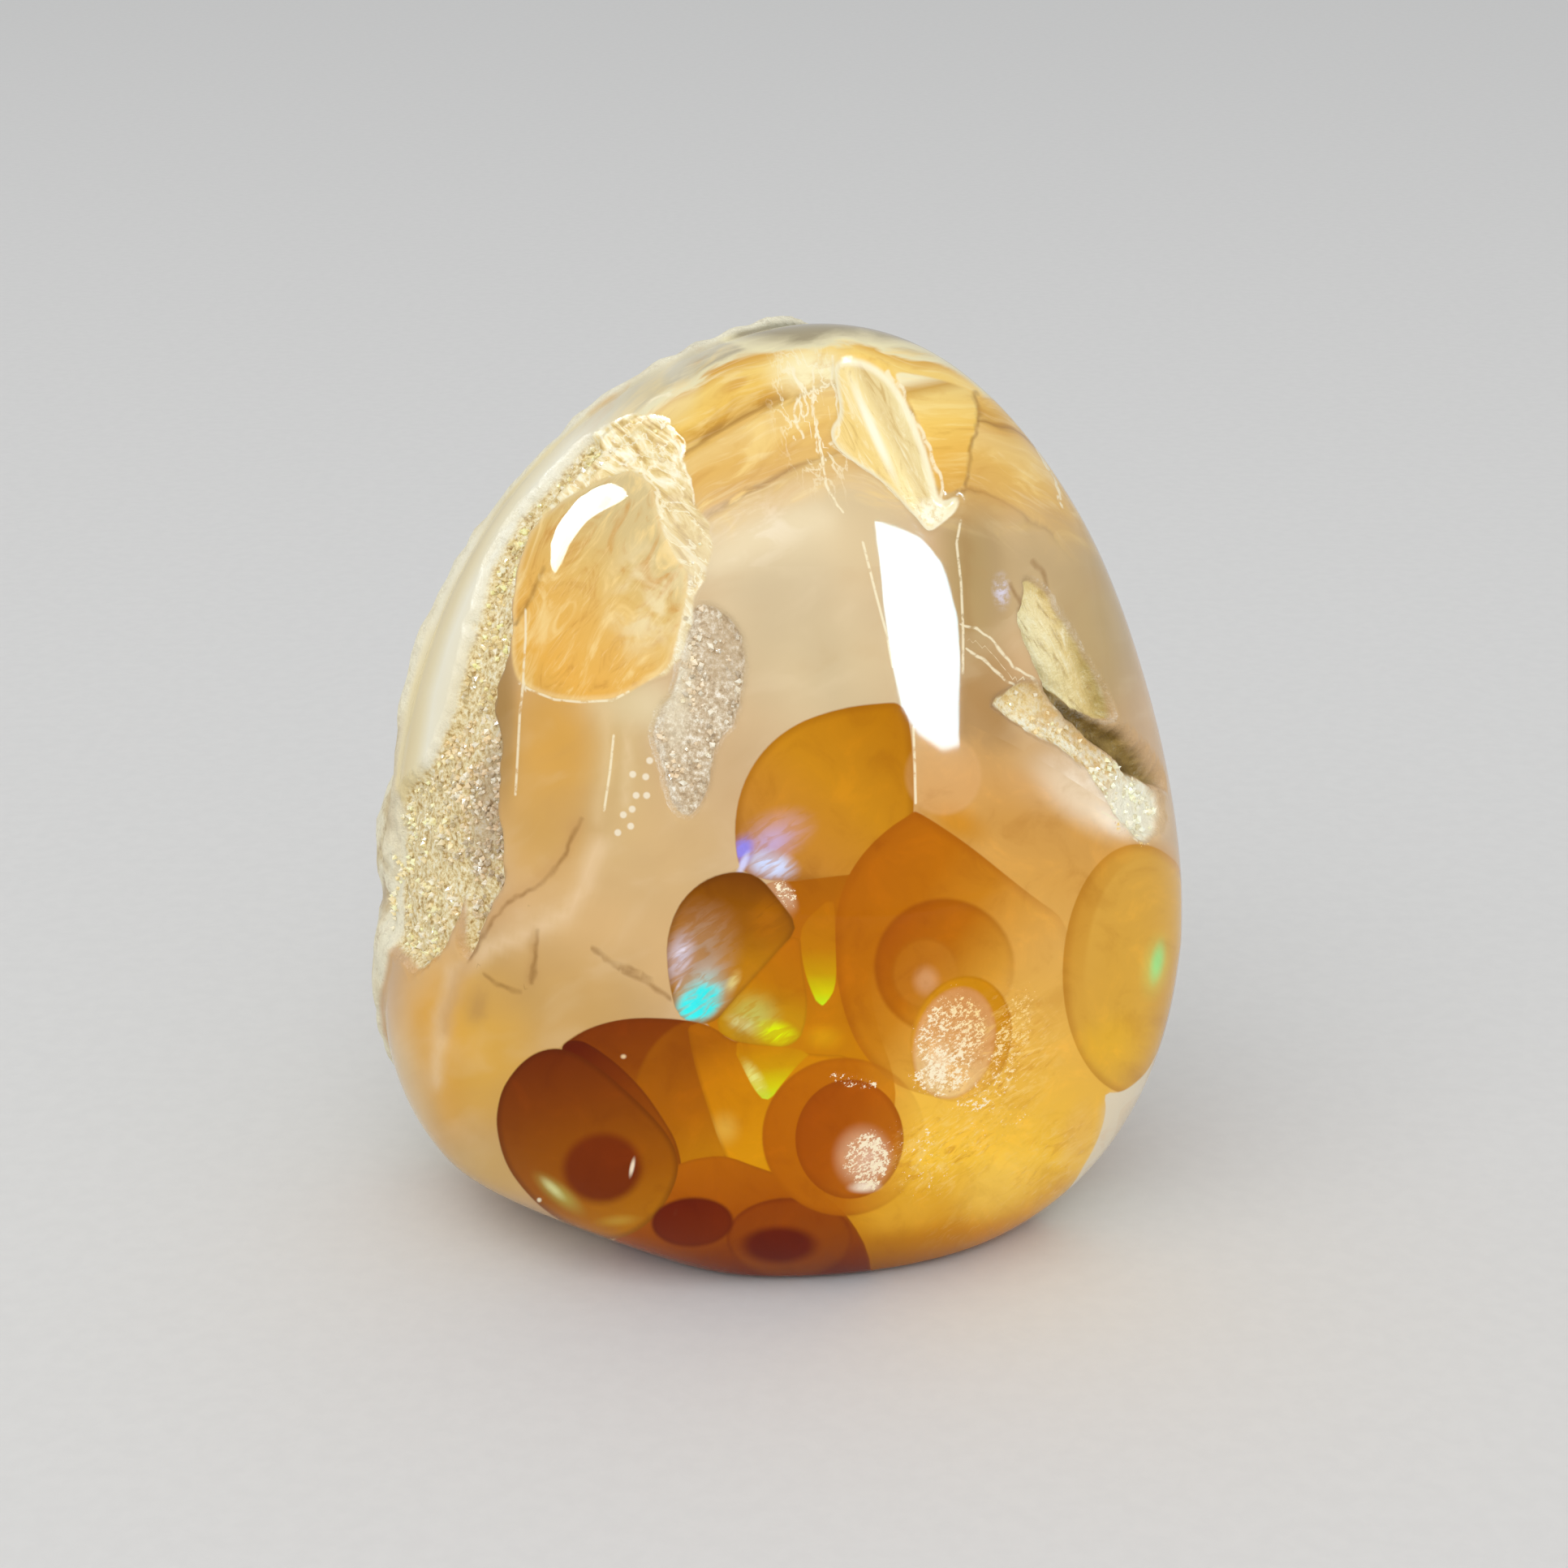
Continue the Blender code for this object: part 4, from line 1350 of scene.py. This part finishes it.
def paint_wedge(graph, colour):
    """The split near the top: a lifted splinter with a bright ridge, and the gold beside it."""
    arcs = graph.grain(8, (110, 15), 4.0, 0.6, 1.0, graph.map("crown"))
    segment = graph.shade(
        graph.along((1150, 462), (1180, 605)), (0.0, 248, 234, 188), (0.10, 210, 166, 84),
        (0.18, 242, 208, 124), (0.4, 246, 204, 104), (0.7, 236, 184, 84), (1.0, 222, 172, 88),
    )
    segment = graph.streaked(segment, arcs, (254, 230, 156), (214, 158, 62), 0.4)
    colour = graph.mix(graph.inside("segment", 2.0), colour, segment)

    grain = graph.grain(62, (60, 13), 5.0, 0.65, 1.2)
    base = graph.shade(
        graph.along((1020, 520), (1120, 470)), (0.0, 244, 214, 140), (0.3, 242, 210, 130),
        (0.5, 252, 230, 164), (0.62, 232, 206, 144), (0.8, 238, 218, 160), (1.0, 246, 232, 178),
    )
    base = graph.streaked(base, grain, (255, 246, 208), (204, 162, 86))
    rim = graph.step(graph.number("wedge"), -9.0, -1.0, 0.0, 0.75)
    ridge = graph.oval((1078, 525), (9, 100), -24)
    base = graph.lay(base, (255, 248, 218), graph.math("MAXIMUM", rim, ridge))
    foot = graph.oval((1152, 632), (36, 28), 0, 0.3)
    base = graph.lay(base, (254, 246, 214), foot, graph.mottle(0.12, 0.35, 0.55, 0.2, 0.95))
    return graph.mix(graph.inside("wedge", 1.6), colour, base)


def paint_fissure(graph, colour):
    """The split at the right: a pale shelf, a dark groove and a crumbling floor."""
    fibres = graph.grain(60, (60, 8), 4.0, 0.65, 0.8)
    shelf = graph.shade(
        graph.along((1285, 790), (1335, 765)), (0.0, 246, 232, 176), (0.35, 238, 217, 154),
        (0.55, 228, 201, 132), (0.8, 182, 158, 90), (1.0, 200, 174, 112),
    )
    shelf = graph.streaked(shelf, fibres, (252, 244, 206), (176, 142, 76))
    colour = graph.mix(graph.inside("shelf", 1.6), colour, shelf)

    speck = graph.noise(graph.place, 3600.0, 3.0, 0.65)
    floor = graph.shade(speck, (0.34, 214, 176, 108), (0.45, 246, 224, 168), (0.58, 255, 249, 224))
    streak = graph.grain(42, (50, 8), 4.0, 0.6, 1.0)
    floor = graph.streaked(floor, streak, (255, 250, 226), (214, 172, 100), 0.7)
    lip = graph.step(graph.along((1335, 880), (1306, 912)), 0.1, 0.9, 0.9, 0.0)
    lip = graph.multiply(lip, graph.step(graph.along((1395, 0), (1345, 0)), 0.0, 1.0))
    floor = graph.lay(floor, (206, 162, 88), lip)
    floor = graph.lay(floor, (222, 178, 106), graph.mottle(0.03, 0.5, 0.62, 0.0, 0.7))
    floor = graph.lay(floor, (240, 210, 138), graph.oval((1262, 862), (56, 30), 25), 0.5)
    white = graph.oval((1405, 1000), (48, 60), -20, 0.4)
    floor = graph.lay(floor, (255, 250, 226), white, 0.9)
    colour = graph.mix(graph.inside("floor", 3.0), colour, floor)
    groove = graph.shade(
        graph.noise(graph.chart, 0.03, 3.0, 0.6),
        (0.35, 104, 78, 26), (0.5, 130, 102, 42), (0.65, 170, 140, 74),
    )
    return graph.mix(graph.inside("groove", 4.0), colour, groove)


def paint_druses(graph, colour):
    speck = graph.noise(graph.place, 3800.0, 3.0, 0.7)
    left = graph.shade(
        speck, (0.32, 176, 140, 80), (0.44, 222, 196, 138), (0.55, 244, 228, 180),
        (0.66, 252, 244, 218),
    )
    left = graph.lay(left, (178, 154, 128), graph.oval((590, 990), (34, 130), 8, 0.3), 0.6)
    middle = graph.shade(
        speck, (0.32, 172, 146, 112), (0.46, 202, 178, 144), (0.56, 220, 202, 172),
        (0.66, 248, 238, 220),
    )
    middle = graph.lay(middle, (196, 170, 132), graph.oval((890, 800), (36, 56), 0, 0.3), 0.6)
    middle = graph.lay(middle, (240, 228, 198), graph.oval((832, 850), (30, 110), 4), 0.6)
    colour = graph.mix(graph.inside("left_druse", 2.0), colour, left)
    return graph.mix(graph.inside("middle_druse", 2.0), colour, middle)


def paint_rind(graph):
    """The natural back: cream knobs with brown and grey in their seams."""
    stain = graph.noise(graph.place, 260.0, 5.0, 0.6, 0.6)
    crumb = graph.noise(graph.place, 2400.0, 4.0, 0.7)
    base = graph.shade(
        stain, (0.28, 186, 158, 112), (0.42, 222, 206, 166), (0.52, 242, 235, 206),
        (0.62, 228, 220, 194), (0.75, 198, 190, 168),
    )
    deep = graph.step(graph.number("rind"), 1.0, 4.0)
    seams = graph.step(graph.number("knob"), 0.5, 0.1, 0.0, 0.7)
    base = graph.lay(base, (150, 108, 60), seams, deep)
    base = graph.lay(base, (150, 118, 78), graph.step(crumb, 0.5, 0.3, 0.0, 0.5))
    return graph.lay(base, (238, 231, 204), graph.step(graph.number("rind"), 2.5, 0.5, 0.0, 0.6))


def paint_fine(graph, colour):
    """The thin lines and the white dots of the polished body."""
    faded = graph.mottle(0.03, 0.35, 0.6, 0.3, 0.55)
    colour = graph.lay(colour, (138, 94, 42), graph.on_lines("dark_line", 5.0, 0.0), faded)
    radii = (WHITE_DOT_RADIUS, WHITE_DOT_RADIUS)
    dots = graph.greatest(graph.oval(centre, radii, 0, 0.5) for centre in WHITE_DOTS)
    colour = graph.lay(colour, (246, 234, 208), dots, 0.8)
    return paint_pale_lines(graph, colour)


def busy_surface(graph):
    """The polished front where it has druses, splits, crust or bands."""
    colour = paint_crown(graph, graph.tint("tone"))
    colour = paint_window(graph, colour)
    colour = paint_wedge(graph, colour)
    # A painted glint: a speckled lavender reflection.
    lavender_glint = graph.oval(*LAVENDER_GLINT, 0.0)
    colour = graph.lay(colour, (222, 216, 232), lavender_glint, graph.mottle(0.11, 0.4, 0.6, 0.15, 0.9))
    haze = graph.oval(*HAZE, 0.1)
    wisps = graph.mottle(0.025, 0.35, 0.6, 0.35, 1.0, 4.0)
    colour = graph.lay(colour, (252, 234, 208), haze, wisps)
    colour = paint_fine(graph, colour)
    colour = paint_fissure(graph, colour)
    colour = paint_druses(graph, colour)

    rough = graph.greatest(
        graph.multiply(graph.step(graph.number(name), ROUGH_REACH, 0.0), amount)
        for name, amount in ROUGH_PLACES
    )
    ring = graph.inside("crust", 6.0)
    ring = graph.multiply(ring, graph.inside("window", -4.0))
    normal = graph.math("MULTIPLY_ADD", ring, 0.16, graph.step(rough, 0.1, 0.5, 0.0, 0.8))
    normal = graph.grit(normal)
    rough = graph.math("MAXIMUM", rough, graph.multiply(ring, 0.4))
    return graph.surface(colour, graph.math("ADD", rough, POLISH_ROUGHNESS), Normal=normal)


def stone_material():
    graph = Graph("polished_fire_agate")
    graph.chart = graph.map("chart")
    graph.find_place()
    clouds = graph.grain(-30, (110, 70), 3.0, 0.5, 0.4)
    plain = graph.streaked(graph.tint("tone"), clouds, (246, 226, 190), (190, 146, 92), 0.12)
    plain = graph.surface(paint_fine(graph, plain), POLISH_ROUGHNESS)
    busy = busy_surface(graph)
    fire = paint_fire(graph)
    corner = graph.inside("corner", 1.3)
    fade = graph.step(graph.along((1405, 0), (1475, 0)), 1.0, 0.0)
    fire = graph.lay(fire, (232, 218, 190), corner, fade)
    fire = graph.surface(paint_marks(graph, fire), POLISH_ROUGHNESS)
    rind = paint_rind(graph)
    rind = graph.surface(rind, RIND_ROUGHNESS, Normal=graph.grit(1.0, 1700.0))
    front = graph.either(graph.inside("busy", 0.8), plain, busy)
    polished = graph.either(graph.inside("fire", 0.8), front, fire)
    share = graph.step(graph.number("rind"), -0.25, 0.15)
    return graph.finished(graph.either(share, polished, rind))


def crystal_material():
    graph = Graph("drusy_quartz")
    graph.find_place()
    frost = graph.step(graph.noise(graph.place, 6000.0), 0.4, 0.7, 0.0, 0.3)
    colour = graph.lay(graph.tint("tone"), (255, 250, 236), frost)
    return graph.finished(graph.surface(colour, QUARTZ_ROUGHNESS, QUARTZ_IOR))


def crystal_shape():
    """A doubly pointed crystal, one unit wide: its corners and its faces."""
    waist = [(math.cos(a), math.sin(a), 0.0) for a in np.arange(4) * math.pi / 2.0]
    corners = np.array(waist + [(0.0, 0.0, 1.5), (0.0, 0.0, -1.5)])
    faces = []
    for side in range(4):
        following = (side + 1) % 4
        faces += [(side, following, 4), (following, side, 5)]
    return corners, np.array(faces)


def crystal_places(stone, skin, zone, density, rng):
    """Random points on the zone's floor, each with its normal, place on the chart and clump."""
    data = stone.data
    corners = np.empty((len(data.polygons), 3), int)
    data.polygons.foreach_get("vertices", corners.ravel())
    points = np.empty((len(data.vertices), 3))
    data.vertices.foreach_get("co", points.ravel())
    within = skin.masks[zone]
    if zone == "crust":
        within = np.maximum(within, -skin.masks["window"])
    chosen = corners[np.all(within[corners] < -1.0, axis=1)]
    first, second, third = (points[chosen[:, corner]] for corner in range(3))
    side_a, side_b = second - first, third - first
    normal = np.cross(side_a, side_b)
    area = np.linalg.norm(normal, axis=1)
    count = int(density * area.sum() / 2.0 / MM**2)
    picked = rng.choice(len(chosen), count, p=area / area.sum())
    u, v = rng.random((2, count, 1))
    folded = u + v > 1.0
    u, v = np.where(folded, 1.0 - u, u), np.where(folded, 1.0 - v, v)
    places = first[picked] + u * side_a[picked] + v * side_b[picked]
    clump = smooth_noise(places, CLUMP_SIZE, 3.0)
    kept = clump > BARE_BELOW
    picked = picked[kept]
    chart = skin.chart[chosen[picked, 0]]
    return places[kept], normal[picked] / area[picked, None], chart, clump[kept]


def crystal_tones(chart, tones, rng):
    named = [(x, y, *TONE_REACH, *rgb) for x, y, *rgb in tones]
    colours = blend_tones(chart, named, tones[0][2:])
    colours = np.clip(colours * rng.uniform(*CRYSTAL_SHADES, (len(chart), 1)), 0.0, 1.0)
    bright = rng.random(len(chart)) < BRIGHT_SHARE
    colours[bright] = colours[bright] * 0.3 + 0.7 * np.array(BRIGHT_QUARTZ)
    return colours


def build_crystals(stone, skin, zone, density, material, rng):
    places, normals, chart, clump = crystal_places(stone, skin, zone, density, rng)
    corners, faces = crystal_shape()
    count = len(places)
    radius = CRYSTAL_RADIUS * rng.uniform(*CRYSTAL_SIZES, (count, 1))
    radius = radius * (1.0 + CLUMP_GROWTH * clump[:, None])
    axis = unit(normals + CRYSTAL_SCATTER * rng.normal(size=(count, 3)))
    side = unit(np.cross(axis, rng.normal(size=(count, 3))))
    frame_axes = (side, np.cross(axis, side), axis)
    turned = sum(corners[None, :, i, None] * frame_axes[i][:, None] for i in range(3))
    points = places[:, None] + radius[:, None] * (turned + CRYSTAL_LIFT * normals[:, None])
    faces = (faces[None] + (np.arange(count) * len(corners))[:, None, None]).reshape(-1, 3)
    data = bpy.data.meshes.new("druse_crystals_" + zone)
    data.from_pydata(points.reshape(-1, 3).tolist(), [], faces.tolist())
    tones = crystal_tones(chart, CRYSTAL_COLOURS[zone], rng)
    store(data, "tone", np.repeat(tones, len(corners), axis=0))
    data.materials.append(material)
    return add_object("druse_crystals_" + zone, data)


def build_floor():
    bpy.ops.mesh.primitive_plane_add(size=FLOOR_SIZE)
    floor = bpy.context.object
    floor.name = "studio_floor"
    graph = Graph("pale_paper")
    graph.find_place()
    fibre = graph.step(graph.noise(graph.place, 900.0, 4.0, 0.6), 0.3, 0.7, 0.0, 0.12)
    colour = graph.mix(fibre, screen_colour(FLOOR_COLOUR), screen_colour(FIBRE_COLOUR))
    paper = graph.node("BsdfDiffuse", (colour,)).outputs[0]
    floor.data.materials.append(graph.finished(paper))


def aim(holder, middle, direction, distance, roll=0.0, swing=0.0):
    """Place a lamp or panel that way from middle, facing it. Azimuth 0 is towards the camera,
    90 to the right of the photograph.
    """
    azimuth, elevation = (math.radians(angle) for angle in direction)
    level = math.cos(elevation)
    away = (math.sin(azimuth) * level, -math.cos(azimuth) * level, math.sin(elevation))
    away = Vector(away)
    turn = away.to_track_quat("Z", "Y")
    turn = turn @ Quaternion((0.0, 0.0, 1.0), math.radians(roll))
    turn = turn @ Quaternion((-1.0, 1.0, 0.0), math.radians(swing))
    holder.rotation_euler = turn.to_euler()
    holder.location = middle + away * distance


def build_panels(middle):
    for panel in PANELS:
        graph = Graph(panel.name)
        glow = graph.node("Emission", (panel.colour, panel.radiance)).outputs[0]
        data = bpy.data.meshes.new(panel.name)
        corners = [(x, y, 0.0) for x, y in panel.outline]
        data.from_pydata(corners, [], [tuple(range(len(corners)))])
        data.materials.append(graph.finished(glow))
        holder = add_object(panel.name, data)
        aim(holder, middle, panel.direction, panel.distance, panel.roll, panel.swing)
        holder.visible_camera = False
        holder.visible_diffuse = False
        holder.visible_shadow = False


def build_studio(middle):
    for lamp in STUDIO:
        light_data = bpy.data.lights.new(lamp.name, "AREA")
        light_data.shape = "RECTANGLE"
        light_data.size, light_data.size_y = lamp.size
        light_data.energy = lamp.radiance * math.pi * lamp.size[0] * lamp.size[1]
        holder = add_object(lamp.name, light_data)
        aim(holder, middle, lamp.direction, lamp.distance)
        holder.visible_glossy = False
    build_panels(middle)
    world = bpy.data.worlds.new("soft_room")
    world.use_nodes = True
    background = world.node_tree.nodes["Background"]
    background.inputs["Color"].default_value = WORLD_COLOUR
    background.inputs["Strength"].default_value = WORLD_STRENGTH
    bpy.context.scene.world = world


def build_camera(shift):
    place, forward, right, up = camera_axes()
    data = bpy.data.cameras.new("photo_camera")
    data.sensor_fit = "HORIZONTAL"
    data.angle = FIELD_OF_VIEW
    data.clip_start = 0.01
    data.clip_end = 10.0
    camera = add_object("photo_camera", data)
    camera.rotation_euler = Matrix([right, up, -forward]).transposed().to_euler()
    camera.location = Vector(place + shift)
    bpy.context.scene.camera = camera


def main():
    stone, skin, shift = build_stone()
    stone.data.materials.append(stone_material())
    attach(stone, "root")
    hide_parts(NODE_NAME)
    rng = np.random.default_rng(CRYSTAL_SEED)
    quartz = crystal_material()
    for zone, density in CRYSTALS.items():
        crystals = build_crystals(stone, skin, zone, density, quartz, rng)
        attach(crystals, "root")
    build_floor()
    build_studio(Vector(CAMERA_TARGET + shift))
    build_camera(shift)
    bpy.context.scene.view_settings.view_transform = "Standard"
    print("stone triangles", len(stone.data.polygons), "shift", shift)


main()
